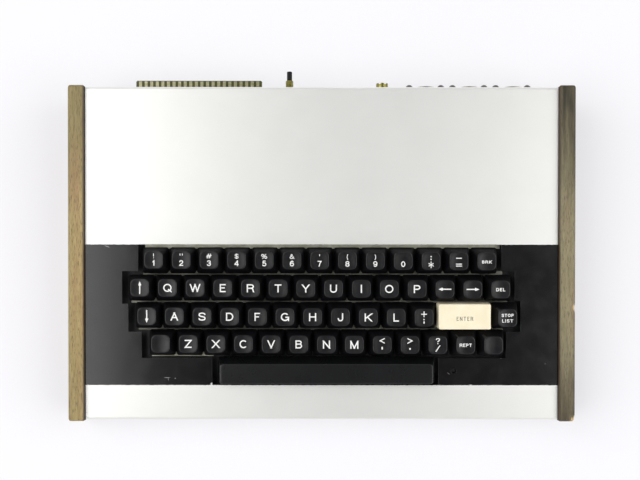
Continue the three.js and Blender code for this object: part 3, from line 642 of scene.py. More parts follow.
print("cover")
coverSizes = {
    "Width": sheetWidth,
    "Front": frontY,
    "Back": backY,
    "Front height": case["frontHeight"],
    "Back height": case["backHeight"],
    "Floor height": case["floorHeight"],
    "Bend radius": case["bendRadius"],
    "Bend steps": 8,
}
backDevices = {
    "tongueLeft": 33.2 - sheetWidth / 2,
    "tongueReach": 6.0,
    "contactCount": 22,
    "contactPitch": 3.96,
    "tongueMargin": 1.0,
    "tongueCorner": 0.7,     # cut off for the plug
    "tongueGap": 0.8,
    "boardTop": -12.7,
    "boardThickness": 1.6,
    "resetSpacing": 19.7,
    "resetHeight": -8.2,
    "tvHeight": -7.7,
    "socketPitch": 30.53,
    "socketEdge": 30.75,
    "dinDepth": 10.5,
    "wallDepth": 13.5,       # where the gap of the boxes to the back wall is measured
    "bushingRadius": 2.7,
    "tvRadius": 4.15,
    "dinRadius": 7.5,
    "lampRadius": 1.4,
    "lampAside": 13.0,       # from the space bar's end
    "lampDown": 0.8,
    "cutReach": 6,           # of what cuts the sheet, to each side
    "hole": 0.3,
}
tongueWidth = backDevices["contactCount"] * backDevices["contactPitch"] + 2 * backDevices["tongueMargin"]
tongueLeft = backDevices["tongueLeft"]
tongueRight = tongueLeft + tongueWidth
resetX = tongueRight + backDevices["resetSpacing"]
dinXs = [sheetWidth / 2 - backDevices["socketEdge"] - i * backDevices["socketPitch"] for i in range(3)]
tvX = sheetWidth / 2 - backDevices["socketEdge"] - 3 * backDevices["socketPitch"]
dinZ = case["backHeight"] - backDevices["dinDepth"]


# Every key's place on the deck, with its width
def layOutKeys():
    places = {}
    for number, row in enumerate(keyRows):
        start, y = row["start"], firstRowY - number * pitch
        for label in row["keys"].split():
            units = wideUnits.get(label, 1)
            x = firstKeyX + (start + (units - 1) / 2) * pitch
            places[label if label in wideUnits else "key_" + label] = {
                "x": x,
                "y": y,
                "spot": deckPlace @ Matrix.Translation((x, y, -keyboard["capDrop"])),
                "width": units * pitch - (pitch - keyboard["capBase"]),
                "lean": row["lean"] + keyboard["turn"] * x,
                "sway": 0 if label in wideUnits else keyboard["sway"] * max(0, x),
            }
            start += units
    return places


keyPlaces = layOutKeys()
spacePlace = keyPlaces["space_bar"]
lampX = spacePlace["x"] + spacePlace["width"] / 2 + backDevices["lampAside"]
lampY = spacePlace["y"] - backDevices["lampDown"]


# The opening's stepped outline, counter-clockwise from the back left
def openingOutline():
    spans = []
    for number, row in enumerate(keyRows):
        y = firstRowY - number * pitch
        left = firstKeyX + (row["start"] - row["left"]) * pitch - halfCap
        right = firstKeyX + (row["start"] + row["units"] - 1 + row["right"]) * pitch + halfCap
        spans.append((left, right, y + halfCap + row["back"] * pitch, y - halfCap - row["front"] * pitch))
    leftSide, rightSide = [], []
    for i, (left, right, back, front) in enumerate(spans):
        # between two rows the wider one keeps its own edge
        for side, line, wider in ((0, leftSide, min), (1, rightSide, max)):
            edge = (left, right)[side]
            top, bottom = back, front
            if i > 0 and wider(edge, spans[i - 1][side]) != edge:
                top = spans[i - 1][3]
            if i < len(spans) - 1 and wider(edge, spans[i + 1][side]) != edge:
                bottom = spans[i + 1][2]
            line += [(edge, top), (edge, bottom)]
    return leftSide + list(reversed(rightSide))


alongDeckY = Matrix.Rotation(-math.pi / 2, 4, "X")
toDeck = standPlace.inverted() @ deckPlace


# What is cut out of the sheet, in the standing frame
def coverCutters():
    gap, slot, reach = backDevices["hole"], backDevices["tongueGap"], backDevices["cutReach"]
    top, thickness = backDevices["boardTop"], backDevices["boardThickness"]
    forms = [
        prism(openingOutline(), -reach, reach),
        prism(circle(lampX, lampY, backDevices["lampRadius"] + gap), -reach, reach),
        block((tongueLeft - slot, -reach, top - thickness - slot), (tongueRight + slot, reach, top + slot)),
    ]
    forms = [moved(form, toDeck) for form in forms]
    for radius, middle in [
        (backDevices["bushingRadius"], toDeck @ Matrix.Translation((resetX, 0, backDevices["resetHeight"]))),
        (backDevices["tvRadius"], toDeck @ Matrix.Translation((tvX, 0, backDevices["tvHeight"]))),
    ] + [(backDevices["dinRadius"], Matrix.Translation((x, backY, dinZ))) for x in dinXs]:
        hole = prism(circle(0, 0, radius + gap), -reach, reach)
        forms.append(moved(hole, middle @ alongDeckY))
    return joined(forms)


def makeCover():
    tree, size = newTree("folded_sheet", coverSizes)
    outline = addNode(tree, "GeometryNodeCurvePrimitiveQuadrilateral", mode="POINTS")
    for label, along, height in (
        ("Point 1", "Front", "Floor height"), ("Point 2", "Front", "Front height"),
        ("Point 3", "Back", "Back height"), ("Point 4", "Back", "Floor height"),
    ):
        corner = addNode(tree, "ShaderNodeCombineXYZ", {"Y": size[along], "Z": size[height]})
        connect(outline, {label: corner})
    opened = addNode(tree, "GeometryNodeSetSplineCyclic", {0: outline, "Cyclic": False})
    bent = addNode(tree, "GeometryNodeFilletCurve", {
        "Curve": opened, "Count": size["Bend steps"], "Radius": size["Bend radius"]}, mode="POLY")
    line = addNode(tree, "GeometryNodeCurveToMesh", {0: bent})
    across = addNode(tree, "ShaderNodeCombineXYZ", {"X": size["Width"]})
    sheet = addNode(tree, "GeometryNodeExtrudeMesh", {
        "Mesh": line, "Offset": across, "Offset Scale": 1.0}, mode="EDGES")
    half = addNode(tree, "ShaderNodeMath", {0: size["Width"], 1: -0.5}, operation="MULTIPLY")
    back = addNode(tree, "ShaderNodeCombineXYZ", {"X": half})
    centred = addNode(tree, "GeometryNodeTransform", {"Geometry": sheet, "Translation": back})
    cover = settled(grown("cover_sheet", tree, centred, coverSizes, coverMetal), asBuilt)
    # the sheet's outer side is up, so its thickness goes inwards
    if sum(face.normal.z * face.area for face in cover.data.polygons) < 0:
        cover.data.flip_normals()
    wall = cover.modifiers.new("thickness", "SOLIDIFY")
    wall.thickness = case["sheet"]
    wall.offset = -1.0
    wall.use_even_offset = True
    cutter = newPiece("cover_cutter", coverCutters(), coverMetal)
    combined(cover, settled(cutter, asBuilt, turnOut=True), "DIFFERENCE")
    handIn(cover, standPlace, "case", "cover_aluminium", "top_cover", ease=(0.18, 2, 40))


makeCover()

print("cheeks")
cheekSizes = {"thickness": 11.0, "edgeRound": 1.3, "cornerRadius": 2.5, "middleHeight": 24.0, "dent": 0.45,
              "sideSteps": (97, 19, 97, 12)}


# Side outline in Y and Z, evenly pointed, moved in by an inset
def cheekOutline(inset):
    over = case["cheekOverhang"] - inset
    lift = (case["cheekRise"] - inset) / math.cos(slope)
    rise = math.tan(slope)
    low = case["cheekGround"] + inset
    corners = [
        Vector((frontY - over, low)),
        Vector((backY + over, low)),
        Vector((backY + over, case["backHeight"] + lift + over * rise)),
        Vector((frontY - over, case["frontHeight"] + lift - over * rise)),
    ]
    radius = cheekSizes["cornerRadius"] - inset
    points = []
    for i, corner in enumerate(corners):
        back = (corners[i - 1] - corner).normalized()
        ahead = (corners[(i + 1) % 4] - corner).normalized()
        half = math.acos(back.dot(ahead)) / 2
        middle = corner + (back + ahead).normalized() * radius / math.sin(half)
        entry = corner + back * radius / math.tan(half) - middle
        turn = math.pi - 2 * half
        first = math.atan2(entry.y, entry.x)
        angles = [first + turn * s / 8 for s in range(9)]
        points.append([middle + radius * Vector((math.cos(a), math.sin(a))) for a in angles])
    outline = []
    for i, steps in enumerate(cheekSizes["sideSteps"]):
        start, end = points[i][-1], points[(i + 1) % 4][0]
        outline += points[i] + [start.lerp(end, s / steps) for s in range(1, steps)]
    return outline


def makeCheek(name, side):
    thickness, edge = cheekSizes["thickness"], cheekSizes["edgeRound"]
    angles = [math.pi / 2 * s / 5 for s in range(6)]
    layers = [(edge * (1 - math.cos(a)), edge * (1 - math.sin(a))) for a in angles]
    layers += [(edge + (thickness - 2 * edge) * s / 6, 0) for s in range(1, 6)]
    layers += [(thickness - x, inset) for x, inset in reversed(layers[:6])]
    rings = [[Vector((x, point.x, point.y)) for point in cheekOutline(inset)] for x, inset in layers]
    middle = ((backY + frontY) / 2, cheekSizes["middleHeight"])
    form = skin(rings, Vector((0, *middle)), Vector((thickness, *middle)))
    inner = sheetWidth / 2 + case["cheekGap"]
    form = moved(form, Matrix.Translation((inner if side > 0 else -inner - thickness, 0, 0)))
    # dents where the edges were knocked
    for x, y, z, radius in woods[name]["chips"]:
        for point in form[0]:
            away = (point - Vector((x, y, z))).length
            if away < radius:
                push = (1 - (away / radius) ** 2) * cheekSizes["dent"]
                point += Vector((-side * push, 0, -push))
    cheek = newPiece(name + "_board", form, makeWoodMaterial(name))
    handIn(cheek, standPlace, "case", "cheek_wood", name, sharp=50, turnOut=True)


makeCheek("left_cheek", -1)
makeCheek("right_cheek", 1)

print("keycaps")
capSizes = {
    "height": 9.0,
    "topWidth": 12.6,
    "topDepth": 12.0,
    "topCorner": 3.7,
    "cornerCut": 0.29,       # share of a corner's radius that its round takes off the rim
    "baseCorner": 1.6,
    "innerCorner": 0.8,
    "leastCorner": 0.12,
    "dish": 0.75,
    "bulge": 0.22,           # of the skirt
    "wall": 1.3,
    "roof": 2.0,
    "shoulder": 0.42,
    "stemTaper": 0.5,
    "guideShare": 0.36,      # of the space bar's width, to each side
    "guideBite": 0.8,        # of its guides into the roof
    "polishedAndLitFrom": 0.6,     # faces more level than this get the polished, lighter top copy, steeper ones the darker painted-shade side copy
}
# ENTER is scooped from front to back, the space bar crowned
wideTops = {
    "enter_key": {"depth": 17.3, "corner": 1.0, "frontInset": 0.1, "endInset": 0.8, "height": 9.8,
                  "scoop": 0.8, "crown": 0},
    "space_bar": {"depth": 13.5, "corner": 2.2, "frontInset": 0.4, "endInset": 2.3, "height": 9.0,
                  "scoop": 0, "crown": 0.25},
}


# A cap's points move sideways with their height above its lower edge
def swayed(points, place):
    return [point + Vector((place["sway"] * max(0, point.z) / capSizes["height"], 0, 0)) for point in points]


# The form of one cap's top, and the height of its surface at a place
def capTop(name, place):
    top = {"wide": name in wideUnits, "width": capSizes["topWidth"], "depth": capSizes["topDepth"],
           "corner": capSizes["topCorner"], "height": capSizes["height"], "shift": place["lean"]}
    if top["wide"]:
        top.update(wideTops[name])
        top["width"] = place["width"] - 2 * top["endInset"]
        top["shift"] = top["frontInset"] + top["depth"] / 2 - halfCap
    cut = capSizes["cornerCut"] * top["corner"]
    rimReach = (top["width"] / 2 - cut) ** 2 + (top["depth"] / 2 - cut) ** 2

    def surface(x, y):
        away = y - top["shift"]
        if top["wide"]:
            share = min(1.0, abs(away) / (top["depth"] / 2)) ** 2
            return top["height"] - top["scoop"] * (1 - share) - top["crown"] * share
        return top["height"] - capSizes["dish"] * (1 - (x * x + away ** 2) / rimReach)

    top["surface"] = surface
    return top


def makeCap(name, place):
    sizes, top = capSizes, capTop(name, place)
    base, stem, reach = keyboard["capBase"], keyboard["stemSize"], keyboard["stemReach"]
    width, wall, shift, stemCorner = place["width"], sizes["wall"], top["shift"], keyboard["stemCorner"]
    taper = sizes["stemTaper"]

    def ring(wide, deep, corner, z, shift=0.0):
        return roundedRing(wide, deep, corner, z, shift, 8 if top["wide"] else 4)

    def onTop(inset):
        share = 1 if top["wide"] else top["corner"] / (top["depth"] / 2)
        corner = max(sizes["leastCorner"], top["corner"] - inset * share)
        level = ring(top["width"] - 2 * inset, top["depth"] - 2 * inset, corner, 0, shift)
        for point in level:
            point.z = top["surface"](point.x, point.y)
        return level

    ceiling = top["height"] - sizes["roof"]
    rings = [
        ring(stem - taper, stem - taper, 0.3, -reach),
        ring(stem, stem, stemCorner, -reach + stemCorner),
        ring(stem, stem, stemCorner, ceiling),
        ring(top["width"] - 2 * wall, top["depth"] - 2 * wall, sizes["innerCorner"], ceiling, shift),
        ring(width - 2 * wall, base - 2 * wall, sizes["innerCorner"], 0),
        ring(width, base, sizes["baseCorner"], 0),
    ]
    # the skirt, a little fuller than straight
    foot, edge = rings[-1], onTop(0)
    for share in (0.3, 0.6, 0.94):
        bulge = 0 if top["wide"] else sizes["bulge"] * math.sin(math.pi * share)
        level = []
        for low, high in zip(foot, edge):
            outward = Vector((low.x, low.y, 0)) - Vector((0, shift * share, 0))
            level.append(low.lerp(high, share) + outward.normalized() * bulge)
        rings.append(level)
    # the rounded shoulder, from the skirt's top over the rim into the dish
    skirtTop, shoulder = rings[-1], onTop(sizes["shoulder"])
    for u in (0.25, 0.5, 0.75, 1.0):
        rings.append([a * (1 - u) ** 2 + b * 2 * u * (1 - u) + c * u ** 2
                      for a, b, c in zip(skirtTop, edge, shoulder)])
    rings += [onTop(top["depth"] / 2 * share) for share in (0.3, 0.45, 0.6, 0.75, 0.88, 0.97)]
    points, faces = skin(rings, Vector((0, 0, -reach)), Vector((0, shift, top["surface"](0, shift))))
    material = {"enter_key": creamAbs, "space_bar": spaceAbs}.get(name, blackAbs)
    # the stem stays straight in its switch
    stemPoints = 3 * len(foot)
    points = points[:stemPoints] + swayed(points[stemPoints:], place)
    cap = newPiece(name + "_cap", (points, faces), material)
    # steep faces take the darker side copy, which paints the skirts' shade
    if material is blackAbs:
        cap.data.materials.append(shadedSideAbs)
        for face in cap.data.polygons:
            face.material_index = int(face.normal.z < sizes["polishedAndLitFrom"])
    if name == "space_bar":
        ends = (-reach, ceiling + sizes["guideBite"])
        rod = skin([roundedRing(stem, stem, stemCorner, z) for z in ends],
                   *[Vector((0, 0, z)) for z in ends])
        rods = joined([moved(rod, Matrix.Translation((side * sizes["guideShare"] * width, 0, 0)))
                       for side in (-1, 1)])
        rods = settled(newPiece("guide_rods", rods, material), asBuilt, turnOut=True)
        combined(settled(cap, asBuilt, turnOut=True), rods, "UNION")
    slot = "cream_plastic" if name == "enter_key" else "black_plastic"
    handIn(cap, place["spot"], name, slot, name, sharp=38, turnOut=name != "space_bar")


for name, place in keyPlaces.items():
    makeCap(name, place)

print("legends")


# Strokes run in a unit box, as lines through the middle of the pen
def arc(x, y, reachX, reachY, start, end):
    steps = max(4, round(abs(end - start) / 14))
    angles = [math.radians(start + (end - start) * i / steps) for i in range(steps + 1)]
    return [(x + reachX * math.cos(a), y + reachY * math.sin(a)) for a in angles]


# A smooth line through points
def flowing(*points):
    ends = [Vector(p) for p in points]
    ends = [ends[0] * 2 - ends[1]] + ends + [ends[-1] * 2 - ends[-2]]
    line = []
    for i in range(1, len(ends) - 2):
        a, b, c, d = ends[i - 1:i + 3]
        for step in range(4):
            t = step / 4
            line.append(tuple(0.5 * (2 * b + (c - a) * t + (2 * a - 5 * b + 4 * c - d) * t ** 2
                                     + (3 * b - a - 3 * c + d) * t ** 3)))
    return line + [points[-1]]


stem = [(0, 0), (0, 1)]
loop = arc(0.5, 0.5, 0.5, 0.5, 0, 360)
esses = flowing((1, .74), (.9, .93), (.5, 1), (.1, .92), (.03, .75), (.14, .59), (.5, .51), (.88, .42),
                (1, .25), (.9, .07), (.5, 0), (.09, .08), (0, .28))
six = flowing((.93, .8), (.78, .95), (.52, 1), (.2, .88), (.03, .6), (.02, .35), (.15, .09), (.5, 0),
              (.85, .09), (1, .32), (.85, .55), (.5, .63), (.18, .54), (.03, .38))
glyphs = {
    "A": (0.91, [[(0, 0), (.5, 1)], [(1, 0), (.5, 1)], [(.19, .34), (.81, .34)]]),
    "B": (0.82, [stem, [(0, 1), (.55, 1)] + arc(.55, .77, .38, .23, 90, -90) + [(0, .54)],
                 [(0, .54), (.6, .54)] + arc(.6, .27, .4, .27, 90, -90) + [(0, 0)]]),
    "C": (0.98, [arc(.5, .5, .5, .5, 44, 316)]),
    "D": (0.91, [stem, [(0, 1), (.42, 1)] + arc(.42, .5, .58, .5, 90, -90) + [(0, 0)]]),
    "E": (0.73, [stem, [(0, 1), (1, 1)], [(0, .53), (.93, .53)], [(0, 0), (1, 0)]]),
    "F": (0.7, [stem, [(0, 1), (1, 1)], [(0, .5), (.85, .5)]]),
    "G": (1.02, [arc(.5, .5, .5, .5, 42, 332), [(.55, .46), (1, .46)], [(1, .46), (1, 0)]]),
    "H": (0.88, [stem, [(1, 0), (1, 1)], [(0, .53), (1, .53)]]),
    "I": (0.18, [[(.5, 0), (.5, 1)]]),
    "J": (0.68, [[(1, 1), (1, .3)] + arc(.5, .3, .5, .3, 0, -180) + [(0, .38)]]),
    "K": (0.9, [stem, [(1, 1), (0, .33)], [(.36, .57), (1, 0)]]),
    "L": (0.68, [stem, [(0, 0), (1, 0)]]),
    "M": (1.0, [stem, [(1, 0), (1, 1)], [(0, 1), (.5, 0)], [(1, 1), (.5, 0)]]),
    "N": (0.88, [stem, [(1, 0), (1, 1)], [(0, 1), (1, 0)]]),
    "O": (1.03, [loop]),
    "P": (0.82, [stem, [(0, 1), (.55, 1)] + arc(.55, .735, .45, .265, 90, -90) + [(0, .47)]]),
    "Q": (1.03, [loop, [(.6, .3), (1, -.02)]]),
    "R": (0.9, [stem, [(0, 1), (.58, 1)] + arc(.58, .75, .4, .25, 90, -90) + [(0, .5)],
                flowing((.6, .5), (.86, .4), (.92, .2), (1, 0))]),
    "S": (0.88, [esses]),
    "T": (0.84, [[(0, 1), (1, 1)], [(.5, 0), (.5, 1)]]),
    "U": (0.86, [[(0, 1), (0, .34)] + arc(.5, .34, .5, .34, 180, 360) + [(1, 1)]]),
    "V": (0.92, [[(0, 1), (.5, 0)], [(1, 1), (.5, 0)]]),
    "W": (1.3, [[(0, 1), (.26, 0)], [(.5, 1), (.26, 0)], [(.5, 1), (.74, 0)], [(1, 1), (.74, 0)]]),
    "X": (0.92, [[(0, 0), (1, 1)], [(0, 1), (1, 0)]]),
    "Y": (0.92, [[(0, 1), (.5, .42)], [(1, 1), (.5, .42)], [(.5, .5), (.5, 0)]]),
    "Z": (0.85, [[(0, 1), (1, 1)], [(1, 1), (0, 0)], [(0, 0), (1, 0)]]),
    "0": (0.74, [loop]),
    "1": (0.4, [[(.8, 0), (.8, 1)], flowing((.8, .97), (.55, .78), (0, .72))]),
    "2": (0.72, [flowing((.03, .68), (.12, .91), (.5, 1), (.9, .88), (.95, .68), (.8, .48), (.3, .22),
                         (.04, 0)), [(0, 0), (1, 0)]]),
    "3": (0.72, [flowing((.05, .74), (.15, .92), (.5, 1), (.86, .92), (.93, .76), (.8, .58), (.42, .54)),
                 flowing((.42, .54), (.84, .48), (1, .28), (.88, .08), (.5, 0), (.12, .08), (0, .27))]),
    "4": (0.76, [[(.76, 0), (.76, 1)], [(.74, .98), (0, .28)], [(0, .26), (1, .26)]]),
    "5": (0.74, [[(.92, 1), (.2, 1)], [(.2, 1), (.08, .48)],
                 flowing((.08, .48), (.28, .6), (.54, .63), (.88, .54), (1, .32), (.88, .1), (.5, 0),
                         (.12, .08), (0, .25))]),
    "6": (0.74, [six]),
    "7": (0.72, [[(0, 1), (1, 1)], flowing((1, 1), (.62, .58), (.38, 0))]),
    "8": (0.74, [arc(.5, .765, .44, .235, 0, 360), arc(.5, .265, .5, .265, 0, 360)]),
    "9": (0.74, [[(1 - x, 1 - y) for x, y in six]]),
    "!": (0.2, [[(.5, .34), (.5, 1)], [(.5, 0)]]),
    '"': (0.62, [[(0, 1), (0, .6)], [(1, 1), (1, .6)]]),
    "#": (1.15, [[(.14, 0), (.44, 1)], [(.56, 0), (.86, 1)], [(.06, .68), (1, .68)],
                  [(0, .32), (.94, .32)]]),
    "$": (0.8, [esses, [(.5, -.14), (.5, 1.14)]]),
    "%": (1.25, [arc(.2, .76, .2, .24, 0, 360), arc(.8, .24, .2, .24, 0, 360), [(.78, 1), (.22, 0)]]),
    "&": (1.0, [flowing((1, 0), (.32, .66), (.25, .85), (.42, 1), (.6, .86), (.54, .68), (.12, .4),
                        (.03, .2), (.2, .02), (.5, 0), (.8, .2), (.94, .5))]),
    "'": (0.2, [[(.5, 1), (.5, .62)]]),
    "(": (0.36, [flowing((.95, 1.08), (.35, .8), (.12, .45), (.35, .1), (.95, -.18))]),
    ")": (0.36, [flowing((.05, 1.08), (.65, .8), (.88, .45), (.65, .1), (.05, -.18))]),
    ":": (0.2, [[(.5, 0)], [(.5, 1)]]),
    ";": (0.2, [[(.5, .1)], [(.5, .1), (.36, -.45)], [(.5, 1)]]),
    "*": (1.0, [[(.5, 0), (.5, 1)], [(.07, .25), (.93, .75)], [(.07, .75), (.93, .25)]]),
    "-": (1.1, [[(0, .5), (1, .5)]]),
    "=": (1.0, [[(0, .78), (1, .78)], [(0, .22), (1, .22)]]),
    "+": (1.0, [[(0, .5), (1, .5)], [(.5, 0), (.5, 1)]]),
    "<": (0.9, [[(1, .96), (0, .5), (1, .04)]]),
    ">": (0.9, [[(0, .96), (1, .5), (0, .04)]]),
    ",": (0.2, [[(.5, .1)], [(.5, .1), (.36, -.7)]]),
    ".": (0.2, [[(.5, 0)]]),
    "?": (0.72, [flowing((.02, .72), (.12, .93), (.5, 1), (.88, .93), (.97, .76), (.8, .56), (.54, .42),
                         (.5, .28)), [(.5, 0)]]),
    "/": (0.72, [[(0, 0), (1, 1)]]),
}
# Each line of a legend: text, height, stroke, height of its middle, squeeze of the letters, gap between them
digitLine = (3.9, 0.66, -2.15, 1.0, 0.4)
symbolLine = (3.3, 0.48, 2.7, 1.0, 0.4)
letterLine = (5.6, 0.86, 0.0, 1.0, 0.4)
legendLines = {
    "key_0": [("0",) + digitLine],
    "key_colon": [(":", 2.7, 0.85, 2.2, 1.0, 0.4), ("*", 4.5, 0.55, -2.5, 1.0, 0.4)],
    "key_minus": [("-", 3.7, 0.6, 2.1, 1.0, 0.4), ("=", 3.0, 0.6, -2.6, 1.4, 0.4)],
    "key_break": [("BRK", 2.1, 0.46, -0.4, 1.0, 0.55)],
    "key_delete": [("DEL", 2.3, 0.48, -0.1, 1.0, 0.5)],
    "key_plus": [("+", 3.9, 0.65, 2.4, 1.0, 0.4), (";", 2.7, 0.8, -2.2, 1.0, 0.4)],
    "enter_key": [("ENTER", 2.8, 0.4, -1.4, 0.68, 0.9)],
    "key_stop_list": [("STOP", 2.2, 0.46, 1.9, 0.9, 0.42), ("LIST", 2.2, 0.46, -1.9, 1.0, 0.6)],
    "key_comma": [("<", 3.9, 0.66, 2.8, 1.0, 0.4), (",", 2.6, 0.95, -1.2, 1.0, 0.4)],
    "key_period": [(">", 3.9, 0.66, 2.8, 1.0, 0.4), (".", 2.6, 1.05, -1.9, 1.0, 0.4)],
    "key_slash": [("?", 4.2, 0.66, 2.8, 1.0, 0.4), ("/", 4.3, 0.66, -2.4, 1.0, 0.4)],
    "key_repeat": [("REPT", 2.3, 0.48, 0.0, 0.95, 0.42)],
}
for symbol, digit in zip("!\"#$%&'()", "123456789"):
    legendLines["key_" + digit] = [(symbol,) + symbolLine, (digit,) + digitLine]
for letter in "ABCDEFGHIJKLMNOPQRSTUVWXYZ":
    legendLines["key_" + letter.lower()] = [(letter,) + letterLine]
arrows = {"key_up": 90, "key_down": -90, "key_left": 180, "key_right": 0}
arrowSizes = {"length": 8.7, "shaft": 0.78, "head": 3.1, "headWidth": 2.2, "step": 0.5, "tip": 0.08}
penStep = 0.8
mitreLimit = 0.45
legendLifts = (0.03, -0.15)  # a legend's upper and lower side, from the cap's surface


# A line with a pen width at each point becomes quads with mitred joints; an end at the box's edge is cut
# along it
def ribbon(points, widths, cuts=(None, None)):
    closed = (points[0] - points[-1]).length < 1e-6
    count = len(points)
    sides = []
    for i, point in enumerate(points):
        before = points[i - 1] if i > 0 else (points[-2] if closed else None)
        after = points[i + 1] if i < count - 1 else (points[1] if closed else None)
        ways = [(point - before).normalized()] if before is not None else []
        ways += [(after - point).normalized()] if after is not None else []
        along = sum(ways, Vector((0, 0))).normalized()
        across = Vector((-along.y, along.x))
        square = Vector((-ways[0].y, ways[0].x))
        reach = widths[i] / 2 / max(across.dot(square), mitreLimit)
        pair = [point + across * reach, point - across * reach]
        cut = cuts[0] if i == 0 else cuts[1] if i == count - 1 else None
        if cut:
            axis, level = cut
            pair = [p + along * (level - p[axis]) / along[axis] for p in pair]
        sides.append(pair)
    return [[a[0], b[0], b[1], a[1]] for a, b in zip(sides, sides[1:])]


def strokeQuads(stroke, left, low, width, height, pen):
    def place(x, y):
        return Vector((left + pen / 2 + x * (width - pen), low + pen / 2 + y * (height - pen)))

    points = [place(*stroke[0])]
    if len(stroke) == 1:
        reach = pen / 2
        return [[points[0] + Vector(step) * reach for step in ((-1, -1), (1, -1), (1, 1), (-1, 1))]]
    for x, y in stroke[1:]:
        end = place(x, y)
        if (end - points[-1]).length < 1e-4:
            continue
        steps = max(1, math.ceil((end - points[-1]).length / penStep))
        start = points[-1]
        points += [start.lerp(end, s / steps) for s in range(1, steps + 1)]
    cuts = []
    for tip, along in ((stroke[0], points[1] - points[0]), (stroke[-1], points[-1] - points[-2])):
        cut = None
        if tip[1] in (0, 1) and abs(along.y) > 0.4 * abs(along.x):
            cut = (1, low + tip[1] * height)
        elif tip[0] in (0, 1) and abs(along.x) > abs(along.y):
            cut = (0, left + tip[0] * width)
        cuts.append(cut)
    if (points[0] - points[-1]).length < 1e-6:
        cuts = [None, None]
    return ribbon(points, [pen] * len(points), cuts)


def legendQuads(name):
    quads = []
    for text, height, pen, middle, squeeze, gap in legendLines.get(name, []):
        widths = [max(pen, glyphs[letter][0] * height * squeeze) for letter in text]
        left = -(sum(widths) + gap * (len(text) - 1)) / 2
        for letter, width in zip(text, widths):
            for stroke in glyphs[letter][1]:
                quads += strokeQuads(stroke, left, middle - height / 2, width, height, pen)
            left += width + gap
    if name in arrows:
        sizes, half = arrowSizes, arrowSizes["length"] / 2
        turn = Matrix.Rotation(math.radians(arrows[name]), 2)
        neck, step = half - sizes["head"], sizes["step"]
        line = [(-half + s * (neck + half) / 7, sizes["shaft"]) for s in range(8)]
        line.append((neck + step, sizes["headWidth"]))
        for s in range(1, 5):
            width = sizes["headWidth"] * (1 - s / 4) + sizes["tip"]
            line.append((neck + step + (sizes["head"] - step) * s / 4, width))
        quads += ribbon([turn @ Vector((x, 0)) for x, w in line], [w for x, w in line])
    return quads


def covers(quad, point):
    sides = [(b - a).cross(point - a) for a, b in zip(quad, quad[1:] + quad[:1])]
    return min(sides) > 0 or max(sides) < 0


# The quads are merged into one flat shape, which is laid on the cap's top and given a thickness
def makeLegend(name, place):
    quads = legendQuads(name)
    if not quads:
        return
    top = capTop(name, place)
    corners = [point for quad in quads for point in quad]
    rims = [(4 * i + k, 4 * i + (k + 1) % 4) for i in range(len(quads)) for k in range(4)]
    flat = delaunay_2d_cdt(corners, rims, [], 0, 0.0005)
    spots, triangles = flat[0], []
    for face in flat[2]:
        middle = sum((spots[i] for i in face), Vector((0, 0))) / 3
        if any(covers(quad, middle) for quad in quads):
            triangles.append(face)
    edges = dict.fromkeys((a, b) for face in triangles for a, b in zip(face, face[1:] + face[:1]))
    count, points = len(spots), []
    for lift in legendLifts:
        for x, y in spots:
            y += top["shift"]
            points.append(Vector((x, y, top["surface"](x, y) + lift)))
    faces = [tuple(face) for face in triangles]
    faces += [tuple(count + i for i in reversed(face)) for face in triangles]
    faces += [(b, a, count + a, count + b) for a, b in edges if (b, a) not in edges]
    material = greyAbs if name == "enter_key" else whiteAbs
    legend = newPiece("legend_" + name.replace("key_", ""), (swayed(points, place), faces), material)
    shape = bmesh.new()
    shape.from_mesh(legend.data)
    bmesh.ops.delete(shape, geom=[v for v in shape.verts if not v.link_faces], context="VERTS")
    shape.to_mesh(legend.data)
    shape.free()
    handIn(legend, place["spot"], name, "legend_plastic", sharp=30)


for name, place in keyPlaces.items():
    makeLegend(name, place)

print("circuit board")
boardSizes = {"sideInset": 14.0, "frontInset": 14.0, "backInset": 6.0, "recessInset": 18.0, "recessGap": 1.6}
boardTop = backDevices["boardTop"]
boardBottom = boardTop - backDevices["boardThickness"]


def makeBoard():
    side = sheetWidth / 2 - boardSizes["sideInset"]
    front = boardSizes["frontInset"] - sheetLength
    recessX = dinXs[-1] - backDevices["dinRadius"] - boardSizes["recessGap"]
    back, recess = -boardSizes["backInset"], -boardSizes["recessInset"]
    reach, cut = backDevices["tongueReach"], backDevices["tongueCorner"]
    outline = [
        (-side, front), (side, front), (side, recess), (recessX, recess), (recessX, back),
        (tongueRight, back), (tongueRight, reach - cut), (tongueRight - cut, reach),
        (tongueLeft + cut, reach), (tongueLeft, reach - cut), (tongueLeft, back), (-side, back),
    ]
    board = newPiece("main_board", prism(outline, boardBottom, boardTop), boardResist)
    handIn(board, deckPlace, "case", "board_resin", "circuit_board", ease=(0.12, 2))


makeBoard()

fingerLength = 8.2
fingerSetback = 0.4
fingerSizes = {
    "Count": backDevices["contactCount"],
    "Pitch": backDevices["contactPitch"],
    "First": tongueLeft + backDevices["tongueMargin"] + backDevices["contactPitch"] / 2,
    "Finger width": 2.1,
    "Finger length": fingerLength,
    "Finger thickness": 0.07,
    "Middle": backDevices["tongueReach"] - fingerSetback - fingerLength / 2,
    "Upper side": boardTop,
    "Lower side": boardBottom,
}


def makeFingers():
    tree, size = newTree("edge_contacts", fingerSizes)
    finger = cubeOf(tree, size["Finger width"], size["Finger length"], size["Finger thickness"])
    rows = addNode(tree, "GeometryNodeJoinGeometry")
    for level in ("Upper side", "Lower side"):
        row = rowOf(tree, finger, size["Count"], size["Pitch"], size["First"], size["Middle"], size[level])
        connect(rows, {0: row})
    fingers = grown("edge_contacts", tree, rows, fingerSizes, tinPlate)
    handIn(fingers, deckPlace, "case", "contact_plating")


makeFingers()

print("switches")
plateSizes = {"depth": 7.0, "thickness": 1.2, "margin": 4.5, "holeReach": 40.0}
plateHoles = {"Hole": 14.0}
switchPlaces = []
for name, place in keyPlaces.items():
    aside = capSizes["guideShare"] * place["width"]
    offsets = (-aside, 0, aside) if name == "space_bar" else (0,)
    switchPlaces += [(place["x"] + offset, place["y"], 0.0) for offset in offsets]


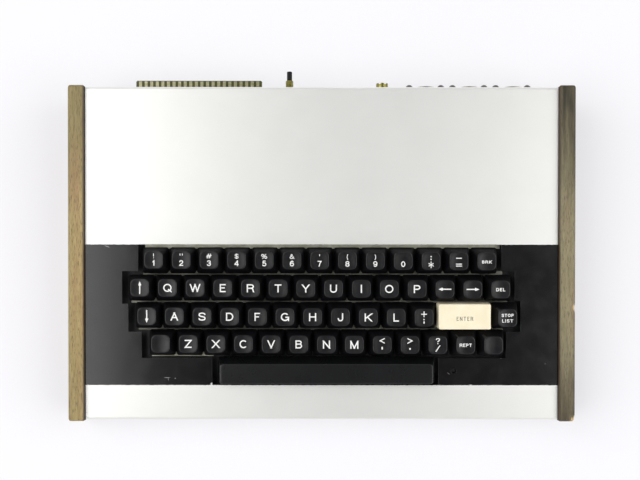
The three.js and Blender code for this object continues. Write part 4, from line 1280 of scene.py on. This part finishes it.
def makePlate():
    outline, margin = openingOutline(), plateSizes["margin"]
    (left, front), (right, back) = [[way(p[axis] for p in outline) for axis in (0, 1)] for way in (min, max)]
    low, high = -plateSizes["depth"] - plateSizes["thickness"], -plateSizes["depth"]
    form = block((left - margin, front - margin, low), (right + margin, back + margin, high))
    # the plate's black is painted shade for the dark under the keys
    plate = newPiece("switch_plate", form, shadeBlackSteel)
    tree, size = newTree("switch_holes", plateHoles, takesPoints=True)
    hole = cubeOf(tree, size["Hole"], size["Hole"], plateSizes["holeReach"])
    rows = addNode(tree, "GeometryNodeInstanceOnPoints", {"Points": size["Places"], "Instance": hole})
    cutter = grown("plate_cutter", tree, rows, plateHoles, shadeBlackSteel, switchPlaces)
    combined(plate, settled(cutter, asBuilt), "DIFFERENCE")
    handIn(plate, deckPlace, "case", "black_plastic", ease=(0.12, 1))


makePlate()

# Rails on the plate between two rows, which show as light lines, painted light for the light that falls
# along the gaps between rows: left end, right end and height; the ones behind the back row and in front of
# the front row are the bright copy, the others a darker copy in broad light and dark patches
railSizes = {"behind": 2.1, "ahead": 1.5, "frontAhead": 0.8, "ease": (0.35, 3), "ends": [
    (-124.0, 125.0, 2.0), (-125.5, 127.0, 1.2), (-133.8, 130.5, 1.7), (-128.8, 127.5, 1.2),
    (-119.3, -76.0, 2.1)]}


def makeRails():
    forms = []
    low = -plateSizes["depth"]
    for number, (left, right, height) in enumerate(railSizes["ends"]):
        line = firstRowY - (number - 0.5) * pitch
        ahead = railSizes["frontAhead" if number == 4 else "ahead"]
        forms.append(block((left, line - ahead, low), (right, line + railSizes["behind"], low + height)))
    for name, some, material in (("back_rail", forms[:1], litZincPlate), ("plate_rails", forms[1:-1], patchyShadeZinc),
                                 ("front_rail", forms[-1:], litZincPlate)):
        rails = newPiece(name, joined(some), material)
        handIn(rails, deckPlace, "case", "socket_nickel", ease=railSizes["ease"])


makeRails()

switchSizes = {"Lower width": 13.8, "Flange": 14.6, "Upper width": 12.2, "Top width": 10.8, "Pocket": 5.0}
# Stages of a housing: width below and above, lower and upper level
switchStages = [("Lower width", "Lower width", boardTop - 0.3, -6.8), ("Flange", "Flange", -7.0, -6.0),
                ("Upper width", "Top width", -6.2, -1.5)]
pocketSpan = {"depth": 14.0, "middle": -9.3 + 7.0}


# One switch housing: square body through the plate, flange on it, tapered top with the stem's pocket
def makeSwitches():
    tree, size = newTree("switch_housings", switchSizes, takesPoints=True)
    stages = addNode(tree, "GeometryNodeMeshBoolean", operation="UNION", solver="EXACT")
    for wide, narrow, low, high in switchStages:
        radii = [addNode(tree, "ShaderNodeMath", {0: size[label], 1: math.sqrt(2)}, operation="DIVIDE")
                 for label in (wide, narrow)]
        stage = addNode(tree, "GeometryNodeMeshCone", {
            "Vertices": 4, "Radius Bottom": radii[0], "Radius Top": radii[1], "Depth": high - low})
        square = addNode(tree, "GeometryNodeTransform", {
            "Geometry": stage, "Translation": (0, 0, low), "Rotation": (0, 0, math.pi / 4)})
        connect(stages, {"Mesh 2": square})
    pocket = addNode(tree, "GeometryNodeTransform", {
        "Geometry": cubeOf(tree, size["Pocket"], size["Pocket"], pocketSpan["depth"]),
        "Translation": (0, 0, pocketSpan["middle"])})
    housing = addNode(tree, "GeometryNodeMeshBoolean", {
        "Mesh 1": stages, "Mesh 2": pocket}, operation="DIFFERENCE", solver="EXACT")
    rows = addNode(tree, "GeometryNodeInstanceOnPoints", {"Points": size["Places"], "Instance": housing})
    switches = grown("switch_housings", tree, rows, switchSizes, switchNylon, switchPlaces)
    handIn(switches, deckPlace, "case", "black_plastic")


makeSwitches()

chipSizes = {"Length": 20.0, "Width": 7.5, "Height": 4.0, "Pins": 8}
bigChipSizes = {"Length": 42.0, "Width": 14.0, "Height": 4.0, "Pins": 14}
pinSizes = {"body": (0.5, 0.3, 2.4), "middle": 1.0, "aside": 0.05, "chipLift": 0.4}


# A chip: moulded body with a row of pins down each long side
def makeChips(name, sizes, count, rowShares):
    side = sheetWidth / 2 - boardSizes["sideInset"]
    back = -boardSizes["recessInset"]
    places = []
    for share in rowShares:
        y = back - share * (keyboard["rearDeck"] + back)
        places += [(side * (2 * (i + 0.5) / count - 1), y, boardTop) for i in range(count)]
    tree, size = newTree(name, sizes, takesPoints=True)
    body = addNode(tree, "GeometryNodeTransform", {
        "Geometry": cubeOf(tree, size["Length"], size["Width"], size["Height"]),
        "Translation": (0, 0, sizes["Height"] / 2 + pinSizes["chipLift"])})
    rows = addNode(tree, "GeometryNodeInstanceOnPoints", {"Points": size["Places"], "Instance": body})
    chips = grown(name + "_bodies", tree, rows, sizes, chipEpoxy, places)
    handIn(chips, deckPlace, "case", "black_plastic", ease=(0.3, 2))

    tree, size = newTree(name + "_pins", sizes, takesPoints=True)
    pin = addNode(tree, "GeometryNodeMeshCube", {"Size": pinSizes["body"]})
    step = addNode(tree, "ShaderNodeMath", {0: size["Length"], 1: size["Pins"]}, operation="DIVIDE")
    first = addNode(tree, "ShaderNodeMath", {
        0: size["Length"], 1: -0.5, 2: sizes["Length"] / sizes["Pins"] / 2}, operation="MULTIPLY_ADD")
    both = addNode(tree, "GeometryNodeJoinGeometry")
    for way in (-0.5, 0.5):
        edge = addNode(tree, "ShaderNodeMath", {
            0: size["Width"], 1: way, 2: math.copysign(pinSizes["aside"], way)}, operation="MULTIPLY_ADD")
        connect(both, {0: rowOf(tree, pin, size["Pins"], step, first, edge, pinSizes["middle"])})
    rows = addNode(tree, "GeometryNodeInstanceOnPoints", {"Points": size["Places"], "Instance": both})
    pins = grown(name + "_pins", tree, rows, sizes, tinPlate, places)
    handIn(pins, deckPlace, "case", "contact_plating")


makeChips("small_chips", chipSizes, 9, (0.3, 0.5))
makeChips("large_chips", bigChipSizes, 4, (0.78,))

print("lamp, reset button and sockets")
lampSizes = {"radius": 1.35, "recess": 1.3, "dome": 0.4}
dome = [(lampSizes["radius"] * math.cos(a), -lampSizes["recess"] - lampSizes["dome"] * (1 - math.sin(a)))
        for a in [math.pi / 2 * s / 5 for s in range(5)]]
lens = newPiece("power_lamp", turned([(lampSizes["radius"], -plateSizes["depth"])] + dome), lampLens)
handIn(lens, deckPlace @ Matrix.Translation((lampX, lampY, 0)), "case", "black_plastic", turnOut=True)

resetSizes = {
    "threadPitch": 0.5,
    "threadDepth": 0.16,
    "bushingReach": 5.1,
    "plungerRadius": 1.8,
    "plungerReach": 11.6,
    "tipRound": 0.6,
    "tipFlat": 0.45,         # share of the tip's face that is level
    "boreGap": 0.3,
    "chamberRadius": 3.0,
    "collarRadius": 2.6,
    "collarLength": 1.5,
    "collarGap": 0.3,        # between the collar and the bushing's inner end
    "bushingTail": 0.5,
    "boxWidth": 12.0,
    "boxLength": 13.0,
    "boxHeight": 9.0,
}
# inner face of the back wall at the board's depth, less a gap, on the deck
boxFaceY = backDevices["wallDepth"] * math.tan(slope) - case["sheet"] / math.cos(slope) - case["innerGap"]
resetPlace = deckPlace @ Matrix.Translation((resetX, 0, backDevices["resetHeight"])) @ alongDeckY


# A box on the board against the back wall
def boxBehindWall(x, sizes):
    half = sizes["boxWidth"] / 2
    return block((x - half, boxFaceY - sizes["boxLength"], boardTop),
                 (x + half, boxFaceY, boardTop + sizes["boxHeight"]))


def makeReset():
    sizes = resetSizes
    outer, reach = backDevices["bushingRadius"], sizes["bushingReach"]
    bore = sizes["plungerRadius"] + sizes["boreGap"]
    profile = [(outer, boxFaceY - sizes["bushingTail"])]
    y = boxFaceY + 0.3
    while y < reach - 0.6:
        profile += [(outer, y), (outer - sizes["threadDepth"], y + sizes["threadPitch"] / 2)]
        y += sizes["threadPitch"]
    profile += [(outer, y), (outer - 0.35, reach), (bore, reach), (bore, boxFaceY - 0.4)]
    bushing = newPiece("reset_bushing", turned(profile, 40), brass)
    handIn(bushing, resetPlace, "case", "socket_brass", sharp=25, turnOut=True)

    radius, tip, tipY = sizes["plungerRadius"], sizes["tipRound"], sizes["plungerReach"]
    collar = sizes["collarRadius"]
    collarY = boxFaceY - 0.8 - sizes["collarGap"] - sizes["collarLength"]
    profile = [(collar - 0.2, collarY), (collar, collarY + 0.2), (collar, collarY + sizes["collarLength"]),
               (radius, collarY + sizes["collarLength"])]
    for angle in [math.pi / 2 * s / 6 for s in range(7)]:
        profile.append((radius - tip + tip * math.cos(angle), tipY - tip + tip * math.sin(angle)))
    profile.append((radius * sizes["tipFlat"], tipY - 0.03))
    plunger = newPiece("reset_plunger", turned(profile, 40), phenolic)
    handIn(plunger, resetPlace, "reset_button", "black_plastic", "reset_button", sharp=40, turnOut=True)

    box = newPiece("reset_switch", boxBehindWall(resetX, sizes), switchNylon)
    room = sizes["chamberRadius"]
    chamber = newPiece("reset_cutter", turned([(room, collarY - 3.5), (room, 2.0)]), switchNylon)
    settled(chamber, standPlace.inverted() @ resetPlace, turnOut=True)
    combined(settled(box, toDeck, turnOut=True), chamber, "DIFFERENCE")
    handIn(box, standPlace, "case", "black_plastic", ease=(0.3, 2))


makeReset()

tvSizes = {"reach": 3.2, "wall": 0.45, "insulator": 2.6, "bore": 1.6, "boxWidth": 30.0,
           "boxLength": 22.0, "boxHeight": 10.0, "slots": 6, "slotDepth": 0.8, "slotHalf": 10}
tvPlace = deckPlace @ Matrix.Translation((tvX, 0, backDevices["tvHeight"])) @ alongDeckY


def makeTvSocket():
    sizes, reach, outer = tvSizes, tvSizes["reach"], backDevices["tvRadius"]
    inner, bore, hold = outer - sizes["wall"], sizes["bore"], sizes["bore"] + 0.2
    shell = turned([(outer, boxFaceY - 0.5), (outer, reach - 0.25), (outer - 0.2, reach),
                    (inner + 0.1, reach), (inner, reach - 0.15), (inner, reach - 1.3)], 48)
    # the rim is slotted like a crown
    step = 360 / sizes["slots"]
    for point in shell[0]:
        turn = math.degrees(math.atan2(point.y, point.x)) % step
        if point.z > reach - 0.5 and min(turn, step - turn) < sizes["slotHalf"]:
            point.z -= sizes["slotDepth"]
    plug = turned([(inner, reach - 1.4), (inner, reach - 0.7), (sizes["insulator"], reach - 0.35),
                   (bore + 0.35, reach - 0.35), (hold, reach - 0.5), (hold, reach - 1.3)], 40)
    tube = turned([(hold, reach - 1.35), (hold, reach - 0.45), (bore, reach - 0.45), (bore, reach - 1.25)])
    for name, form, material, slot in (
        ("tv_socket_shell", shell, brass, "socket_nickel"),
        ("tv_socket_insulator", plug, tvPolythene, "legend_plastic"),
        ("tv_socket_contact", tube, brass, "socket_brass"),
    ):
        handIn(newPiece(name, form, material), tvPlace, "case", slot, sharp=30, turnOut=True)
    can = newPiece("tv_box", boxBehindWall(tvX, sizes), canTin)
    handIn(can, deckPlace, "case", "socket_nickel", ease=(0.5, 3))


makeTvSocket()

dinSizes = {"flange": 0.7, "flangeRadius": 8.0, "earRadius": 3.6, "screwSpacing": 22.3, "rise": 0.35,
            "face": 6.6, "recess": 0.6, "bodyDepth": 9.0}


def flangeOutline():
    sizes = dinSizes
    reach = sizes["screwSpacing"] / 2
    tangent = math.acos((sizes["flangeRadius"] - sizes["earRadius"]) / reach)
    outline = []
    for x, radius, start, end in (
        (0, sizes["flangeRadius"], tangent, math.pi - tangent),
        (-reach, sizes["earRadius"], math.pi - tangent, math.pi + tangent),
        (0, sizes["flangeRadius"], math.pi + tangent, 2 * math.pi - tangent),
        (reach, sizes["earRadius"], -tangent, tangent),
    ):
        angles = [start + (end - start) * s / 12 for s in range(13)]
        outline += [(x + radius * math.cos(a), radius * math.sin(a)) for a in angles]
    return outline


def makeDinSockets():
    sizes, radius, face = dinSizes, backDevices["dinRadius"], dinSizes["face"]
    top = sizes["flange"] + sizes["rise"]
    sunk = top - sizes["recess"]
    flange = prism(flangeOutline(), 0.0, sizes["flange"])
    barrel = turned([(radius, -case["sheet"] - sizes["bodyDepth"]), (radius, top - 0.2), (radius - 0.2, top),
                     (face + 0.15, top), (face, top - 0.15), (face, sunk - 0.4)], 48)
    disc = turned([(face - 0.02, sunk - 0.5), (face - 0.02, sunk)], 48)
    for name, form, material, slot, ease in (
        ("din_flanges", flange, nickel, "socket_nickel", (0.15, 2)),
        ("din_barrels", barrel, nickel, "socket_nickel", None),
        ("din_faces", disc, blackResin, "black_plastic", None),
    ):
        forms = [moved(form, Matrix.Translation((x, backY, dinZ)) @ alongDeckY) for x in dinXs]
        handIn(newPiece(name, joined(forms), material), standPlace, "case", slot, ease=ease, sharp=30,
               turnOut=True)


makeDinSockets()

contactSizes = {"Contacts": 5, "Circle": 4.6, "Spread": 180.0, "Radius": 0.75, "Rise": 0.16}
screwSizes = {"Head radius": 2.7, "Head height": 2.9, "Slot width": 0.6, "Slot depth": 0.9, "Tilt": 0.4}


# Socket contacts lie on an arc round the key at the top
def makeDinContacts():
    tree, size = newTree("din_contacts", contactSizes, takesPoints=True)
    spread = addNode(tree, "ShaderNodeMath", {0: size["Spread"]}, operation="RADIANS")
    ring = addNode(tree, "GeometryNodeCurveArc", {
        "Resolution": size["Contacts"], "Radius": size["Circle"], "Sweep Angle": spread}, mode="RADIUS")
    spots = addNode(tree, "GeometryNodeCurveToPoints", {"Curve": ring}, mode="EVALUATED")
    pin = addNode(tree, "GeometryNodeMeshCylinder", {
        "Vertices": 16, "Radius": size["Radius"], "Depth": size["Rise"]})
    one = addNode(tree, "GeometryNodeInstanceOnPoints", {
        "Points": spots, "Instance": pin})
    turn = addNode(tree, "GeometryNodeTransform", {
        "Geometry": one, "Rotation": (-math.pi / 2, 0, 0)})
    rows = addNode(tree, "GeometryNodeInstanceOnPoints", {
        "Points": size["Places"], "Instance": turn})
    faceY = backY + dinSizes["flange"] + dinSizes["rise"] - dinSizes["recess"]
    pins = grown("din_contacts", tree, rows, contactSizes, brass, [(x, faceY, dinZ) for x in dinXs])
    handIn(pins, standPlace, "case", "socket_brass", sharp=30)


makeDinContacts()


# Slotted screws: a low dome less its slot, turned a little each way
def makeScrews():
    tree, size = newTree("slotted_screws", screwSizes, takesPoints=True)
    ball = addNode(tree, "GeometryNodeMeshUVSphere", {
        "Segments": 28, "Rings": 12, "Radius": size["Head radius"]})
    squash = addNode(tree, "ShaderNodeMath", {
        0: size["Head height"], 1: size["Head radius"]}, operation="DIVIDE")
    scale = addNode(tree, "ShaderNodeCombineXYZ", {"X": 1.0, "Y": 1.0, "Z": squash})
    dome = addNode(tree, "GeometryNodeTransform", {"Geometry": ball, "Scale": scale})
    # the slot's cutter is longer than the head is wide and twice as high as its lift
    slotLevel = addNode(tree, "ShaderNodeMath", {
        0: size["Head height"], 1: size["Slot depth"]}, operation="SUBTRACT")
    slotLift = addNode(tree, "ShaderNodeMath", {0: slotLevel, 1: 1.0}, operation="ADD")
    slot = addNode(tree, "GeometryNodeTransform", {
        "Geometry": cubeOf(tree, 9.0, size["Slot width"], 2.0),
        "Translation": addNode(tree, "ShaderNodeCombineXYZ", {"Z": slotLift})})
    under = addNode(tree, "GeometryNodeTransform", {
        "Geometry": addNode(tree, "GeometryNodeMeshCube", {"Size": (9, 9, 6)}), "Translation": (0, 0, -3)})
    head = addNode(tree, "GeometryNodeMeshBoolean", {
        "Mesh 1": dome, "Mesh 2": slot}, operation="DIFFERENCE", solver="EXACT")
    connect(head, {"Mesh 2": under})
    tilt = addNode(tree, "FunctionNodeRandomValue", {2: -1.5, 3: 1.5, "Seed": 4}, data_type="FLOAT")
    turn = addNode(tree, "ShaderNodeMath", {0: tilt.outputs[1], 1: size["Tilt"]}, operation="MULTIPLY")
    spin = addNode(tree, "ShaderNodeCombineXYZ", {"Z": turn})
    rows = addNode(tree, "GeometryNodeInstanceOnPoints", {
        "Points": size["Places"], "Instance": head, "Rotation": spin})
    upright = addNode(tree, "GeometryNodeTransform", {"Geometry": rows, "Rotation": (-math.pi / 2, 0, 0)})
    # places lie flat here and are turned up with the screws
    wallY, reach = backY + dinSizes["flange"], dinSizes["screwSpacing"] / 2
    places = [(x + side * reach, -dinZ, wallY) for x in dinXs for side in (-1, 1)]
    screws = grown("socket_screws", tree, upright, screwSizes, steelScrew, places)
    handIn(screws, standPlace, "case", "socket_nickel", sharp=30)


makeScrews()

print("tray and feet")
traySizes = {"gap": 0.3, "thickness": 1.5, "wallHeight": 12.0, "standoffRadius": 3.0, "footInset": 24.0,
             "standoffX": 0.42, "standoffYs": (0.13, 0.5, 0.93), "screwRadius": 1.3, "screwDepth": 2,
             "chamfer": 0.3}
footSizes = {"Radius": 6.0, "Lower radius": 5.6, "Height": 4.0}
trayHalfX = sheetWidth / 2 - traySizes["gap"]
trayHalfY = (backY - frontY) / 2 - case["sheet"] - traySizes["gap"]
trayMiddleY = (backY + frontY) / 2


def makeTray():
    floor, sheet = case["floorHeight"], traySizes["thickness"]
    brim = floor + traySizes["wallHeight"]
    edges = ((0, 1.0, floor), (0, 1.0, brim), (sheet, 0.4, brim), (sheet, 0.4, floor + sheet))
    rings = [roundedRing(2 * (trayHalfX - inset), 2 * (trayHalfY - inset), corner, z, trayMiddleY)
             for inset, corner, z in edges]
    form = skin(rings, Vector((0, trayMiddleY, floor)), Vector((0, trayMiddleY, floor + sheet)))
    tray = newPiece("bottom_tray", form, trayPaint)
    handIn(tray, standPlace, "case", "tray_paint", "bottom_cover", ease=(0.3, 2), turnOut=True)
    posts = []
    radius, bore, cut = traySizes["standoffRadius"], traySizes["screwRadius"], traySizes["chamfer"]
    for side in (-1, 1):
        for share in traySizes["standoffYs"]:
            y = trayHalfY - share * 2 * trayHalfY
            drop = ((backY - frontY) / 2 - (y - radius)) * math.tan(slope)
            top = case["backHeight"] - drop + boardBottom / math.cos(slope) - case["innerGap"]
            post = turned([(radius, floor + sheet), (radius, top - cut), (radius - cut, top),
                           (bore, top), (bore, top - traySizes["screwDepth"])], 24)
            at = Matrix.Translation((side * traySizes["standoffX"] * sheetWidth, trayMiddleY + y, 0))
            posts.append(moved(post, at))
    standoffs = newPiece("board_standoffs", joined(posts), brass)
    handIn(standoffs, standPlace, "case", "socket_brass", sharp=30, turnOut=True)


makeTray()


def makeFeet():
    tree, size = newTree("rubber_feet", footSizes, takesPoints=True)
    pad = addNode(tree, "GeometryNodeMeshCone", {
        "Vertices": 36, "Radius Bottom": size["Lower radius"], "Radius Top": size["Radius"],
        "Depth": size["Height"]})
    rows = addNode(tree, "GeometryNodeInstanceOnPoints", {
        "Points": size["Places"], "Instance": pad})
    inset = traySizes["footInset"]
    places = [(sideX * (trayHalfX - inset), trayMiddleY + sideY * (trayHalfY - inset), 0)
              for sideX in (-1, 1) for sideY in (-1, 1)]
    feet = grown("rubber_feet", tree, rows, footSizes, rubber, places)
    handIn(feet, standPlace, "case", "foot_rubber", ease=(0.5, 3), sharp=40)


makeFeet()
